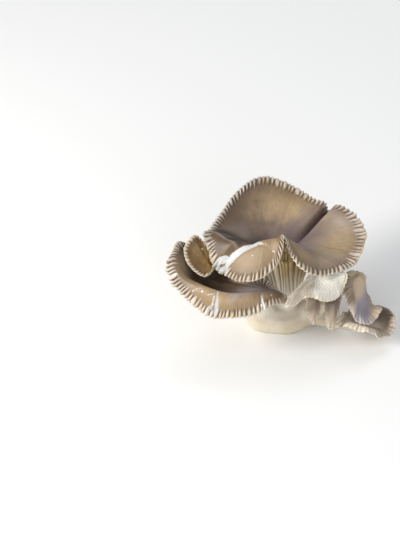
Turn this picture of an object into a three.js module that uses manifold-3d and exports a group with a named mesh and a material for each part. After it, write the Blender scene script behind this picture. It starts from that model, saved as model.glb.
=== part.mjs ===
// An oyster mushroom cluster: eight mushrooms that grow from one cut butt.
// Millimetres, +Z up. The origin is the middle of the flat cut that the cluster stands on.

import * as THREE from 'three';
import { mergeVertices } from 'three/addons/utils/BufferGeometryUtils.js';
import Module from 'manifold-3d';

// Driving dimensions, in millimetres.
const GAP = 0.3;             // clearance between a cap, its gills and its stem
const RIM_THICKNESS = 1.3;   // a cap at its margin
const PLEAT_LENGTH = 6;      // how far the crimps of a margin run inward
const PLEAT_HEIGHT = 0.8;    // how far a crimp rises and dips from the mean surface
const PLEAT_SLENDERNESS = 0.25; // the most that a crimp rises, as a share of its pitch
const SCALLOP = 0.8;         // how much shorter the margin is in the dip of a crimp
const GILL_EDGE = 0.6;       // the layer that bears the gills, at its outer edge
const GILL_BASE = 0.8;       // the same layer near the stem
const GILL_HEIGHT = 0.9;     // how far a gill stands out of that layer, where they stand apart
const GILL_START = 0.4;      // the share of that height that a gill has at its outer end
const GILL_GROWTH = 3;       // how fast it gains the rest inward, per share of the rib
const GILL_SLENDERNESS = 0.4; // the most that a gill stands out, as a share of its pitch
const BEND_RADIUS = 7;       // the patch of cap over which a tight bend thins what lies under it
const THINNEST = 0.3;        // the least share of its thickness that a layer keeps in a bend
const CRIMP_RINGS = [[2, 1], [1.6, 1]];
const THROAT_SPEED = 1.2;    // how fast a rib leaves the pole, as a share of its way to the throat
const THROAT_FLATNESS = 0.7; // how much of the climb is taken out of that start
const MARGIN_SPEED = 1.3;    // how fast a rib ends, as a share of its way from the lip
const MARGIN_BEND = 0.3;     // how much the end of a rib keeps on bending the way it did
const THINNING = 0.8;        // below 1, a cap stays thick until near its margin
const STEPS_BETWEEN_RIBS = 24; // how finely the margin is measured
const SLOWEST = 0.25;        // the least speed of a gill that turns down the stem, over its reach
const NECK_SPEED = 0.6;      // its speed where it meets the neck, over its reach: low for a cone
const THICK_STEM = 6;        // the top radius from which a stem gets more sides
const BUTT_HEIGHT = 18;
const BUTT_HALF_WIDTH = 27;
const BUTT_HALF_DEPTH = 23;

const BROWN = { color: 0x927a63, roughness: 0.6, metalness: 0 };
const CREAM = { color: 0xe3d9bf, roughness: 0.75, metalness: 0 };
const WHITE = { color: 0xece8dd, roughness: 0.7, metalness: 0 };

// A cap is drawn by its ribs. Each rib runs from the pole, where the stem meets the cap, through a
// point of the throat and a point of the lip to a point of the margin. The ribs follow each other
// anticlockwise, seen from the side that bears the skin. The neck is the disc where the gills end
// on the stem, and the stem runs from there along its route, each point with the stem's radius.
// On the small mushrooms without a neck, the gills run to the pole and the stem starts under it.
const MUSHROOMS = [
  {
    // The widest mushroom: a funnel whose front wall has folded outward and torn.
    name: 'crown',
    columns: 192,
    rings: [[1, 2], [0.78, 2], [0.56, 2], [0.38, 4], [0.16, 8]],
    gillRings: 3,
    thickness: 3,
    pole: [-6, 8, 52],
    ribs: [
      // The right lobe.
      [[16, 12, 65], [42, 10, 69], [66, 12, 68]],
      [[16, 15, 65], [42, 21, 71], [66, 27, 71]],
      [[16, 17, 64], [38, 30, 73], [58, 41, 75]],
      [[15, 19, 63], [34, 37, 74], [46, 48, 78]],
      // The crease between the two lobes.
      [[13, 21, 58], [30, 39, 62], [40, 53, 68]],
      // The back lobe.
      [[8, 24, 62], [23, 38, 70], [36, 54, 76]],
      [[4, 25, 64], [17, 42, 70], [29, 60, 74]],
      [[-1, 25, 64], [7, 46, 71], [16, 66, 79]],
      [[-6, 25, 64], [-2, 47, 74], [3, 68, 86]],
      [[-11, 25, 65], [-12, 46, 76], [-11, 68, 91]],
      [[-16, 23, 66], [-22, 42, 76], [-24, 62, 91]],
      [[-20, 20, 67], [-31, 36, 74], [-37, 51, 86]],
      [[-23, 16, 68], [-38, 27, 73], [-47, 37, 80]],
      [[-25, 12, 69], [-46, 19, 75], [-56, 22, 76]],
      // The strip that rolls over on the left.
      [[-25, 9, 70], [-46, 11, 79], [-61, 14, 74]],
      [[-24, 6, 71], [-45, 4, 79], [-58, 2, 70]],
      [[-21, 2, 72], [-38, -3, 81], [-53, -10, 61]],
      [[-18, 0, 73], [-33, -5, 79], [-48, -14, 59]],
      // The flap that hangs over the front.
      [[-14, -1, 74], [-27, -8, 81], [-44, -18, 59]],
      [[-10, -2, 74], [-21, -8, 84], [-34, -27, 61]],
      [[-6, -3, 74], [-14, -9, 87], [-19, -31, 66]],
      [[-3, -3, 74], [-8, -9, 89], [-6, -27, 75]],
      [[-1, -2, 73], [-4, -9, 90], [0, -20, 87]],
      // The notch at the front.
      [[1, 0, 72], [0, -6, 89], [2, -10, 92]],
      // The front of the right lobe, rolled over.
      [[4, 2, 70], [7, -3, 83], [7, -18, 81]],
      [[8, 4, 68], [14, -2, 77], [15, -26, 74]],
      [[11, 6, 67], [26, -6, 69], [29, -26, 66]],
      [[13, 8, 66], [38, -8, 67], [44, -20, 65]],
      [[15, 10, 66], [42, 0, 66], [58, -8, 64]],
    ],
    neck: { centre: [4, -2, 23], down: [0.1, 0, -1], radius: 9.5 },
    route: [[4, -2, 23, 9.5], [3, -1, 8, 13], [2, 0, 2, 17]],
  },
  {
    // The mushroom in front: a trough, open to the right, that rolls over at its lip.
    name: 'front',
    columns: 128,
    rings: [[1, 2], [0.78, 2], [0.56, 2], [0.38, 4], [0.18, 8]],
    gillRings: 4,
    thickness: 2.6,
    pole: [-15, -18, 46],
    ribs: [
      // The short side beside the crown's stem.
      [[-11, -18, 46], [-8, -17, 46], [-4, -17, 47]],
      [[-14, -16, 46], [-14, -13, 47], [-14, -11, 51]],
      [[-18, -15, 46], [-21, -12, 46], [-25, -7, 50]],
      // The back wall of the trough.
      [[-25, -12, 45], [-32, -8, 45], [-37, -1, 48]],
      [[-38, -7, 43], [-46, -1, 44], [-51, 5, 47]],
      [[-48, -5, 43], [-57, 4, 48], [-65, 12, 58]],
      [[-56, -4, 45], [-69, 4, 56], [-80, 12, 70]],
      // The left end, which flares.
      [[-60, -7, 46], [-78, 0, 65], [-86, 0, 69]],
      [[-60, -11, 45], [-80, -10, 65], [-90, -10, 63]],
      // The band that rolls over, round to the right tip.
      [[-58, -15, 44], [-76, -21, 62], [-86, -20, 55]],
      [[-52, -19, 43], [-66, -30, 62], [-78, -32, 52]],
      [[-44, -22, 43], [-56, -36, 61], [-67, -42, 47]],
      [[-35, -25, 45], [-46, -39, 59], [-56, -49, 43]],
      [[-27, -26, 47], [-35, -39, 58], [-38, -51, 44]],
      [[-20, -26, 48], [-24, -36, 57], [-23, -49, 45]],
      [[-14, -24, 48], [-11, -32, 54], [-10, -43, 49]],
      [[-10, -21, 47], [-3, -25, 48], [5, -30, 44]],
    ],
    neck: { centre: [-18, -14, 32], down: [0.3, 0.2, -0.9], radius: 7 },
    route: [[-18, -14, 32, 7], [-14, -10, 16, 9], [-8, -6, 4, 12]],
  },
  {
    // The spoon-shaped mushroom on the left.
    name: 'left',
    columns: 64,
    rings: [[1, 2], [0.7, 2], [0.4, 4], [0.18, 8]],
    thickness: 1.6,
    pole: [-58, -2, 60],
    ribs: [
      [[-55, -2, 59], [-52, -1, 59], [-50, -1, 59]],
      [[-55, 0, 60], [-53, 2, 62], [-51, 4, 63]],
      [[-58, 2, 62], [-59, 6, 66], [-59, 9, 69]],
      [[-60, 3, 63], [-63, 8, 69], [-66, 13, 75]],
      [[-61, 2, 63], [-66, 6, 70], [-71, 9, 76]],
      [[-63, 0, 62], [-70, 2, 67], [-76, 2, 71]],
      [[-63, -3, 60], [-69, -3, 63], [-75, -4, 65]],
      [[-62, -5, 59], [-66, -8, 59], [-70, -10, 61]],
      [[-59, -6, 58], [-60, -12, 57], [-61, -16, 58]],
      [[-56, -5, 59], [-55, -8, 58], [-55, -11, 58]],
    ],
    route: [
      [-58, 2, 54, 3],
      [-50, 6, 53, 3.5],
      [-42, 10, 49, 4.5],
      [-33, 10, 39, 5.5],
      [-24, 9, 28, 7],
      [-14, 5, 14, 9],
      [-8, 2, 5, 11],
    ],
  },
  {
    // The lobe on the right that is turned over, so that its gills face up and forward.
    name: 'turned',
    columns: 72,
    rings: [[1, 1], [0.75, 1], [0.5, 1], [0.28, 2], [0.12, 4]],
    thickness: 1.4,
    pole: [27, -15, 58],
    ribs: [
      [[31, -15, 59], [37, -14, 60], [43, -14, 61]],
      [[33, -17, 58], [43, -18, 60], [51, -18, 60]],
      [[33, -18, 57], [43, -20, 57], [50, -22, 54]],
      [[33, -19, 56], [42, -23, 54], [46, -26, 48]],
      [[31, -20, 55], [38, -26, 52], [41, -29, 44]],
      [[29, -21, 54], [32, -28, 51], [33, -31, 44]],
      [[26, -21, 54], [25, -29, 52], [25, -32, 48]],
      [[24, -21, 54], [19, -30, 53], [18, -34, 50]],
      [[23, -21, 54], [16, -31, 52], [10, -37, 45]],
      [[22, -20, 54], [13, -30, 52], [2, -38, 45]],
      [[22, -19, 55], [14, -27, 54], [6, -33, 52]],
      [[23, -17, 56], [19, -20, 55], [15, -23, 55]],
      [[26, -14, 58], [25, -13, 59], [24, -12, 59]],
      [[28, -14, 59], [29, -13, 60], [30, -12, 61]],
    ],
    route: [[28, -13, 56, 3], [30, -8, 46, 3.5], [30, -5, 34, 4.5], [24, -4, 19, 7], [12, -2, 6, 9]],
  },
  {
    // Two small tongues that hang under the turned lobe.
    name: 'tongue_left',
    columns: 32,
    rings: [[1, 2], [0.7, 2], [0.4, 4], [0.15, 4]],
    thickness: 1.5,
    pole: [27, -20, 41],
    ribs: [
      [[29, -21, 41], [31, -22, 40], [32, -23, 39]],
      [[28, -18, 41], [28, -16, 41], [29, -14, 41]],
      [[25, -19, 41], [22, -19, 40], [20, -18, 39]],
      [[24, -22, 41], [20, -25, 38], [18, -24, 34]],
      [[25, -24, 41], [20, -29, 35], [18, -30, 31]],
      [[26, -25, 41], [24, -34, 33], [22, -36, 28]],
      [[27, -26, 41], [26, -35, 33], [26, -38, 25]],
      [[28, -25, 41], [29, -33, 34], [30, -34, 31]],
      [[29, -23, 41], [31, -27, 37], [31, -28, 35]],
    ],
    route: [[27, -18, 35, 3], [24, -12, 24, 4.5], [18, -8, 13, 7], [11, -5, 5, 9]],
  },
  {
    name: 'tongue_right',
    columns: 32,
    rings: [[1, 2], [0.7, 2], [0.4, 4], [0.15, 4]],
    thickness: 1.5,
    pole: [42, -18, 40],
    ribs: [
      [[45, -19, 40], [47, -19, 39], [48, -19, 38]],
      [[43, -16, 40], [43, -13, 40], [43, -11, 40]],
      [[39, -17, 40], [37, -18, 39], [35, -18, 38]],
      [[39, -20, 40], [36, -24, 37], [34, -27, 35]],
      [[40, -22, 40], [37, -30, 33], [34, -33, 29]],
      [[41, -23, 40], [38, -34, 30], [36, -39, 23]],
      [[42, -24, 40], [41, -35, 30], [41, -40, 23]],
      [[43, -23, 40], [44, -31, 32], [44, -32, 29]],
      [[44, -21, 40], [46, -25, 36], [46, -25, 34]],
    ],
    route: [[41, -15, 34, 3], [35, -10, 23, 4.5], [26, -7, 14, 7], [14, -4, 6, 9]],
  },
  {
    // The drooping cap on the right.
    name: 'right',
    columns: 64,
    rings: [[1, 2], [0.72, 2], [0.45, 4], [0.22, 8]],
    gillRings: 3,
    thickness: 1.7,
    pole: [61, -8, 50],
    ribs: [
      [[64, -6, 48], [66, -4, 45], [67, -2, 42]],
      [[62, -4, 50], [63, -2, 50], [64, 0, 49]],
      [[58, -6, 50], [55, -6, 51], [53, -5, 53]],
      [[57, -10, 49], [53, -11, 48], [48, -11, 47]],
      [[57, -13, 47], [55, -18, 41], [51, -21, 37]],
      [[58, -14, 46], [59, -25, 36], [56, -31, 29]],
      [[60, -15, 45], [61, -27, 32], [60, -34, 25]],
      [[61, -15, 44], [64, -26, 30], [69, -34, 23]],
      [[62, -14, 43], [67, -22, 29], [75, -28, 24]],
      [[63, -13, 43], [70, -18, 29], [80, -19, 27]],
      [[64, -12, 43], [69, -14, 30], [76, -13, 25]],
      [[65, -10, 44], [68, -10, 33], [71, -9, 27]],
      [[65, -8, 46], [67, -7, 39], [68, -5, 34]],
    ],
    neck: { centre: [59, -4, 42], down: [-0.4, 0.3, -0.85], radius: 3.2 },
    route: [[59, -4, 42, 3.2], [49, -1, 32, 5], [36, 0, 21, 6.5], [22, 1, 12, 9], [10, 1, 7, 10]],
  },
  {
    // The lowest cap on the right: an ear that curls up at its outer end.
    name: 'ear',
    columns: 64,
    rings: [[1, 2], [0.72, 2], [0.45, 4], [0.22, 8]],
    gillRings: 3,
    thickness: 1.8,
    pole: [66, -22, 12],
    ribs: [
      [[73, -20, 12], [80, -20, 13], [90, -26, 18]],
      [[73, -16, 12], [79, -12, 14], [88, -18, 20]],
      [[70, -14, 13], [75, -8, 15], [83, -10, 20]],
      [[66, -14, 13], [67, -8, 15], [68, -3, 18]],
      [[62, -16, 13], [59, -12, 15], [58, -8, 19]],
      [[60, -19, 14], [54, -17, 18], [52, -20, 22]],
      [[59, -22, 15], [52, -24, 21], [45, -27, 24]],
      [[60, -25, 16], [53, -29, 23], [43, -33, 21]],
      [[61, -27, 16], [57, -32, 23], [53, -37, 23]],
      [[64, -28, 16], [64, -34, 22], [63, -40, 21]],
      [[68, -27, 14], [72, -33, 18], [74, -39, 18]],
      [[71, -26, 13], [77, -30, 14], [80, -38, 12]],
      [[73, -24, 12], [80, -27, 12], [87, -33, 13]],
    ],
    neck: { centre: [57, -18, 7], down: [-1, 0.2, 0], radius: 3.5 },
    route: [[57, -18, 7, 3.5], [44, -14, 7, 4.5], [28, -9, 8, 6], [14, -5, 8, 7]],
  },
];

// A rib as a curve: it leaves the pole nearly square to the cap's axis and passes its other three
// points smoothly.
class Rib extends THREE.Curve {
  constructor(points, axis) {
    super();
    const [pole, throat, lip, margin] = points;
    this.points = points;
    const start = throat.clone().sub(pole).multiplyScalar(THROAT_SPEED);
    start.addScaledVector(axis, -THROAT_FLATNESS * start.dot(axis));
    const atThroat = lip.clone().sub(pole).multiplyScalar(0.5);
    const atLip = margin.clone().sub(throat).multiplyScalar(0.5);
    const end = margin.clone().sub(lip).multiplyScalar(MARGIN_SPEED);
    end.addScaledVector(atLip, -MARGIN_BEND);
    this.speeds = [start, atThroat, atLip, end];
  }

  getPoint(t, target = new THREE.Vector3()) {
    const span = Math.min(Math.floor(t * 3), 2);
    return hermite(this.points, this.speeds, span, t * 3 - span, target);
  }
}

// The cubic between two of the points, with the given speeds at both.
function hermite(points, speeds, k, t, target = new THREE.Vector3()) {
  const square = t * t;
  const cube = square * t;
  return target.set(0, 0, 0)
    .addScaledVector(points[k], 2 * cube - 3 * square + 1)
    .addScaledVector(speeds[k], cube - 2 * square + t)
    .addScaledVector(points[k + 1], 3 * square - 2 * cube)
    .addScaledVector(speeds[k + 1], cube - square);
}

// The smooth surface of a cap: columns of ribs, evenly spaced along the margin, cut into rings from
// the margin to the pole. Each knot of a ring has its place, its normal on the side that bears the
// skin, and its ease, which says how flat the cap is round it: 1 on a plane, less in a tight bend.
function capSurface({ pole, ribs, columns, rings }) {
  const centre = new THREE.Vector3(...pole);
  const loops = [0, 1, 2].map((k) => {
    const points = ribs.map((rib) => new THREE.Vector3(...rib[k]));
    return new THREE.CatmullRomCurve3(points, true, 'catmullrom', 0.5);
  });
  loops[2].arcLengthDivisions = STEPS_BETWEEN_RIBS * ribs.length;
  const arms = ribs.map(([throat]) => new THREE.Vector3(...throat).sub(centre));
  const axis = new THREE.Vector3();
  arms.forEach((arm, k) => axis.add(arm.clone().cross(arms[(k + 1) % arms.length])));
  axis.normalize();
  const curves = Array.from({ length: columns }, (_, j) => {
    const place = loops[2].getUtoTmapping(j / columns);
    return new Rib([centre, ...loops.map((loop) => loop.getPoint(place))], axis);
  });
  const ringOf = ([share, step]) => Array.from({ length: columns / step }, (_, k) => {
    const rib = curves[k * step];
    const length = rib.getLength();
    const start = length / (length + PLEAT_LENGTH);
    const f = share <= 1 ? share * start : start + (1 - start) * (share - 1);
    return { rib, length, f, k, share, place: rib.getPointAt(f) };
  });
  const surface = [...CRIMP_RINGS, ...rings].map(ringOf);
  for (const ring of surface) {
    ring.forEach((knot, k) => {
      const [before, after] = [ring.at(k - 1), ring[(k + 1) % ring.length]];
      knot.pitch = before.place.distanceTo(after.place);
    });
  }
  surface.push([{ f: 0, k: 0, share: 0, pitch: 0, place: centre }]);
  const knots = surface.flat();
  const normals = openSheet(surface.map((ring) => ring.map((knot) => knot.place)));
  knots.forEach((knot, i) => {
    knot.facing = new THREE.Vector3().fromBufferAttribute(normals, i);
  });
  for (const knot of knots) {
    const near = knots.filter((other) => other.place.distanceTo(knot.place) < BEND_RADIUS);
    const likeness = near.map((other) => other.facing.dot(knot.facing));
    const sum = likeness.reduce((total, each) => total + each, 0);
    knot.ease = THREE.MathUtils.clamp(sum / near.length, THINNEST, 1);
    knot.normal = new THREE.Vector3();
    near.forEach((other, i) => {
      const closeness = 1 - other.place.distanceTo(knot.place) / BEND_RADIUS;
      knot.normal.addScaledVector(other.facing, Math.max(likeness[i], 0) * closeness ** 2);
    });
    knot.normal.normalize();
  }
  return surface;
}

// The vertex normals of an open sheet of rings.
function openSheet(rings) {
  const faces = [];
  const numbered = numberRings(rings, 0);
  for (let i = 1; i < rings.length; i++) {
    joinRings(numbered[i - 1], numbered[i], (a, b, c) => faces.push(a, b, c));
  }
  return geometryOf(rings.flat(), faces).getAttribute('normal');
}

// A knot lifted along its normal, then lowered by a layer that thins in a bend and by a gap.
function moved({ place, normal, ease }, lift, layer = 0, gap = 0) {
  return place.clone().addScaledVector(normal, lift - layer * ease - gap);
}

// The thickness of a cap at share f of a rib.
function capThickness(mushroom, f) {
  return RIM_THICKNESS + (mushroom.thickness - RIM_THICKNESS) * (1 - f) ** THINNING;
}

// One face of a cap: the crimped margin, the plain rings inside it and the pole.
function capFace(surface, mushroom, under) {
  return surface.map((ring) => ring.map((knot) => {
    const layer = under ? capThickness(mushroom, knot.f) : 0;
    if (knot.share <= 1) {
      return moved(knot, 0, layer);
    }
    const rise = (knot.share - 1) * (knot.length / (knot.length + PLEAT_LENGTH));
    const dip = knot.k % 2 === 1;
    const height = Math.min(PLEAT_HEIGHT, PLEAT_SLENDERNESS * knot.pitch);
    const point = moved(knot, (dip ? -rise : rise) * height, layer);
    const outward = knot.rib.getTangentAt(knot.f);
    return point.addScaledVector(outward, dip ? -rise * SCALLOP : 0);
  }));
}

// The upper face of the gill layer, GAP below the cap.
function gillRoof(surface, mushroom) {
  const inner = surface.slice(CRIMP_RINGS.length);
  return inner.map((ring) => ring.map((knot) => (
    moved(knot, 0, capThickness(mushroom, knot.f), GAP)
  )));
}

// The gilled face: every other knot of a ring stands out as a gill. The gills end on the neck.
function gillFace(surface, mushroom) {
  const inner = surface.slice(CRIMP_RINGS.length);
  const gilled = mushroom.neck ? inner.slice(0, mushroom.gillRings) : inner;
  const rings = gilled.map((ring) => ring.map((knot) => {
    const layer = GILL_BASE + (GILL_EDGE - GILL_BASE) * knot.share;
    const height = Math.min(GILL_HEIGHT, GILL_SLENDERNESS * knot.pitch);
    const growth = Math.min(1, GILL_START + GILL_GROWTH * (1 - knot.share));
    const gill = knot.k % 2 === 0 ? height * growth : 0;
    return moved(knot, 0, capThickness(mushroom, knot.f) + layer + gill, GAP);
  }));
  return mushroom.neck ? rings.concat(neckRings(surface, mushroom, rings.at(-1))) : rings;
}

// A direction that no cap faces, from which the angles round a neck are counted.
const ASTRAY = new THREE.Vector3(0.1, 1, 0.2);

// The gills run on down the stem, from the innermost gill ring to the neck disc.
function neckRings(surface, { neck, gillRings }, innermost) {
  const [pole] = surface.at(-1);
  const centre = new THREE.Vector3(...neck.centre);
  const down = new THREE.Vector3(...neck.down).normalize();
  const under = pole.normal.clone().negate();
  const turn = new THREE.Quaternion().setFromUnitVectors(under, down);
  const side = new THREE.Vector3().crossVectors(under, ASTRAY).normalize();
  const other = new THREE.Vector3().crossVectors(under, side);
  const angles = innermost.map((point) => {
    const arm = point.clone().sub(pole.place);
    return Math.atan2(arm.dot(other), arm.dot(side));
  });
  const ends = evened(angles).map((angle) => new THREE.Vector3()
    .addScaledVector(side, Math.cos(angle))
    .addScaledVector(other, Math.sin(angle))
    .applyQuaternion(turn)
    .multiplyScalar(neck.radius)
    .add(centre));
  const gilled = surface[CRIMP_RINGS.length + gillRings - 1];
  const rings = [1 / 3, 2 / 3, 1].map((t) => innermost.map((start, k) => {
    const reach = start.distanceTo(ends[k]);
    const inward = gilled[k].rib.getTangentAt(gilled[k].f).negate();
    inward.multiplyScalar(Math.max(ends[k].clone().sub(start).dot(inward), SLOWEST * reach));
    const arriving = down.clone().multiplyScalar(NECK_SPEED * reach);
    return hermite([start, ends[k]], [inward, arriving], 0, t);
  }));
  return [...rings, [centre]];
}

// Angles in order round a ring, drawn halfway toward even spacing.
function evened(angles) {
  const full = 2 * Math.PI;
  const unwound = [angles[0]];
  for (let k = 1; k < angles.length; k++) {
    const step = angles[k] - angles[k - 1];
    unwound.push(unwound[k - 1] + step - full * Math.round(step / full));
  }
  const turns = Math.sign(unwound.at(-1) - unwound[0]);
  const even = unwound.map((_, k) => (turns * full * k) / angles.length);
  const shift = unwound.reduce((sum, angle, k) => sum + angle - even[k], 0) / angles.length;
  return unwound.map((angle, k) => (angle + even[k] + shift) / 2);
}

// A closed body between two faces, each a list of rings from the edge to its single last point.
function bodyBetween(upper, lower) {
  const faces = [];
  const top = numberRings(upper, 0);
  const bottom = numberRings(lower, upper.flat().length);
  for (let i = 1; i < top.length; i++) {
    joinRings(top[i - 1], top[i], (a, b, c) => faces.push(a, b, c));
  }
  for (let i = 1; i < bottom.length; i++) {
    joinRings(bottom[i - 1], bottom[i], (a, b, c) => faces.push(a, c, b));
  }
  const [rim, underRim] = [top[0], bottom[0]];
  rim.forEach((_, k) => {
    const next = (k + 1) % rim.length;
    faces.push(rim[k], underRim[k], underRim[next]);
    faces.push(rim[k], underRim[next], rim[next]);
  });
  return geometryOf([...upper.flat(), ...lower.flat()], faces);
}

// The rings with each point replaced by its number, counted from a first one.
function numberRings(rings, first) {
  let next = first;
  return rings.map((ring) => ring.map(() => next++));
}

// The triangles between a ring and the next one inward, which has as many points, half as many or one.
function joinRings(outer, inner, add) {
  if (inner.length === 1) {
    outer.forEach((point, k) => add(inner[0], point, outer[(k + 1) % outer.length]));
    return;
  }
  const step = outer.length / inner.length;
  inner.forEach((point, k) => {
    const next = inner[(k + 1) % inner.length];
    const first = outer[k * step];
    const second = outer[(k * step + 1) % outer.length];
    add(point, first, second);
    add(point, second, next);
    if (step === 2) {
      add(next, second, outer[(k * step + 2) % outer.length]);
    }
  });
}

function geometryOf(points, faces) {
  const geometry = new THREE.BufferGeometry().setFromPoints(points);
  geometry.setIndex(faces);
  geometry.computeVertexNormals();
  return geometry;
}

// A stem: a round tube with closed ends along its route, which gives each point's radius last.
// It starts GAP below the neck and leaves it squarely.
function stemGeometry({ route, neck }) {
  const centres = route.map(([x, y, z]) => new THREE.Vector3(x, y, z));
  const radii = route.map((point) => point[3]);
  if (neck) {
    const down = new THREE.Vector3(...neck.down).normalize();
    centres[0].addScaledVector(down, GAP);
    centres.splice(1, 0, centres[0].clone().addScaledVector(down, neck.radius));
    radii.splice(1, 0, radii[0]);
  }
  const curve = new THREE.CatmullRomCurve3(centres, false, 'centripetal');
  const steps = 2 * (centres.length - 1);
  const sides = radii[0] > THICK_STEM ? 20 : 10;
  const frames = curve.computeFrenetFrames(steps);
  const rings = frames.tangents.map((_, i) => {
    const place = curve.getUtoTmapping(i / steps) * (centres.length - 1);
    const k = Math.min(Math.floor(place), centres.length - 2);
    const radius = THREE.MathUtils.lerp(radii[k], radii[k + 1], place - k);
    const centre = curve.getPointAt(i / steps);
    return Array.from({ length: sides }, (_side, s) => {
      const angle = (-2 * Math.PI * s) / sides;
      return centre.clone()
        .addScaledVector(frames.normals[i], radius * Math.cos(angle))
        .addScaledVector(frames.binormals[i], radius * Math.sin(angle));
    });
  });
  return bodyBetween([rings[0], [curve.getPoint(0)]], [...rings, [curve.getPoint(1)]]);
}

// The butt: the flat cut below, and above it a swollen, lumpy side that the stems grow out of.
function buttGeometry() {
  const profile = [[0, 0], [0.9, 0], [0.98, 0.15], [1, 0.4], [0.88, 0.75], [0.6, 1], [0, 1.1]];
  const points = profile.map(([r, z]) => new THREE.Vector2(r, z));
  const geometry = new THREE.LatheGeometry(points, 32);
  const position = geometry.getAttribute('position');
  for (let i = 0; i < position.count; i++) {
    const [x, y, z] = [position.getX(i), -position.getZ(i), position.getY(i)];
    const angle = Math.atan2(y, x);
    const lump = 1 + 0.05 * Math.cos(3 * angle + 1) + 0.04 * Math.cos(5 * angle + 2 * z);
    position.setXYZ(i, x * lump * BUTT_HALF_WIDTH, y * lump * BUTT_HALF_DEPTH, z * BUTT_HEIGHT);
  }
  return geometry;
}

// Solids are joined as manifolds, whose shared vertices are merged.
const wasm = await Module();
wasm.setup();

function solid(geometry) {
  const bare = geometry.clone();
  bare.deleteAttribute('normal');
  bare.deleteAttribute('uv');
  const merged = mergeVertices(bare, 1e-3);
  const mesh = new wasm.Mesh({
    numProp: 3,
    vertProperties: merged.attributes.position.array,
    triVerts: new Uint32Array(merged.index.array),
  });
  return new wasm.Manifold(mesh);
}

function geometryFrom(manifold) {
  const mesh = manifold.getMesh();
  const geometry = new THREE.BufferGeometry();
  geometry.setAttribute('position', new THREE.BufferAttribute(mesh.vertProperties, 3));
  geometry.setIndex(Array.from(mesh.triVerts));
  geometry.computeVertexNormals();
  return geometry;
}

const group = new THREE.Group();

function addMesh(name, geometry, finish) {
  const mesh = new THREE.Mesh(geometry, new THREE.MeshStandardMaterial(finish));
  mesh.name = name;
  group.add(mesh);
}

let stems = solid(buttGeometry());
for (const mushroom of MUSHROOMS) {
  const surface = capSurface(mushroom);
  const cap = bodyBetween(capFace(surface, mushroom, false), capFace(surface, mushroom, true));
  const gills = bodyBetween(gillRoof(surface, mushroom), gillFace(surface, mushroom));
  addMesh(`cap_${mushroom.name}`, cap, BROWN);
  addMesh(`gills_${mushroom.name}`, gills, CREAM);
  stems = stems.add(solid(stemGeometry(mushroom)));
}
addMesh('stem_clump', geometryFrom(stems.trimByPlane([0, 0, 1], 0)), WHITE);

export default group;
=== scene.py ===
# %% [markdown]
# This notebook dresses a cluster of oyster mushrooms. The solid model underneath holds the real
# sizes: eight caps, the gill layer under each of them, and the white stems that join in one butt.
# Blender gives them what a solid of a few thousand faces can't hold: every crimp of the margins,
# every gill, the torn flesh, and skins that look moist and fibrous. Nothing here moves or resizes
# the frame. Each fine piece takes the place of the solid that it stands for.

# %% Load the frame
import math

import bpy
import numpy as np
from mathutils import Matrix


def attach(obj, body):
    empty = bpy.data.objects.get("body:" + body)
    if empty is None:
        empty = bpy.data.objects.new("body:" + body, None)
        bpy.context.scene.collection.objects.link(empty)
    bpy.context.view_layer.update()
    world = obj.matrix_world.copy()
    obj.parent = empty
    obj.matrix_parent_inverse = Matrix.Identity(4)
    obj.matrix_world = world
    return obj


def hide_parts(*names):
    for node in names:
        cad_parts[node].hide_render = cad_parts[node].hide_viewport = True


MM = 0.001
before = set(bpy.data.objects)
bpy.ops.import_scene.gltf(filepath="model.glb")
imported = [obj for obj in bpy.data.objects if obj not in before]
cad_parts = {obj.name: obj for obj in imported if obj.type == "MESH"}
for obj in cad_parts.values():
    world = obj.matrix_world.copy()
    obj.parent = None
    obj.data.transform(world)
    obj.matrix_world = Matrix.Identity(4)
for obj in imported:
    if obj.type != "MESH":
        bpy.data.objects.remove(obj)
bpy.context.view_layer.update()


def placed(name, data):
    """A new object at the origin of the scene that shows the data."""
    made = bpy.data.objects.new(name, data)
    bpy.context.scene.collection.objects.link(made)
    return made


# %% [markdown]
# The camera comes first, because it says which details will be seen. It looks down on the cluster
# from 40 degrees above the horizon. A long lens from far away keeps the caps' proportions true,
# where a short one close by would swell the nearest of them. The picture is 400 by 545 pixels, and
# each pixel covers 0.8 mm at the cluster. The pixel on which the part's origin falls then says where
# the lens has to point.

# %% Camera
ELEVATION = math.radians(40)
PICTURE = (400, 545)
PIXEL = 0.8 * MM
ORIGIN_PIXEL = (280, 318)
CAMERA_DISTANCE = 2.4
SENSOR = 36

backward = np.array([0, -math.cos(ELEVATION), math.sin(ELEVATION)])
upward = np.array([0, math.sin(ELEVATION), math.cos(ELEVATION)])
across = (PICTURE[0] / 2 - ORIGIN_PIXEL[0]) * PIXEL
above = (ORIGIN_PIXEL[1] - PICTURE[1] / 2) * PIXEL
target = np.array([across, 0, 0]) + above * upward

camera_data = bpy.data.cameras.new("camera")
camera_data.sensor_width = SENSOR
camera_data.lens = SENSOR * CAMERA_DISTANCE / (PICTURE[1] * PIXEL)
camera = placed("camera", camera_data)
camera.location = target + backward * CAMERA_DISTANCE
camera.rotation_euler = (math.pi / 2 - ELEVATION, 0, 0)
bpy.context.scene.camera = camera
print("lens in mm:", round(camera_data.lens, 1))

# %% [markdown]
# Soft studio light suits mushrooms: their skin is satin and their crimps are fine. One lamp low on
# the left draws the relief, a weaker and larger one in front keeps the shadows open, and a third
# behind lights the far margins. A pale even world fills the rest. Smaller lamps would draw harder
# shadows than such skin has. The floor is one plain sheet under the butt.

# %% Light and floor
LAMP_AIM = (0, 0, 0.05)
WORLD_TONE = (0.9, 0.93, 1, 1)
WORLD_STRENGTH = 0.425
FLOOR_HALF = 3


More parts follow.
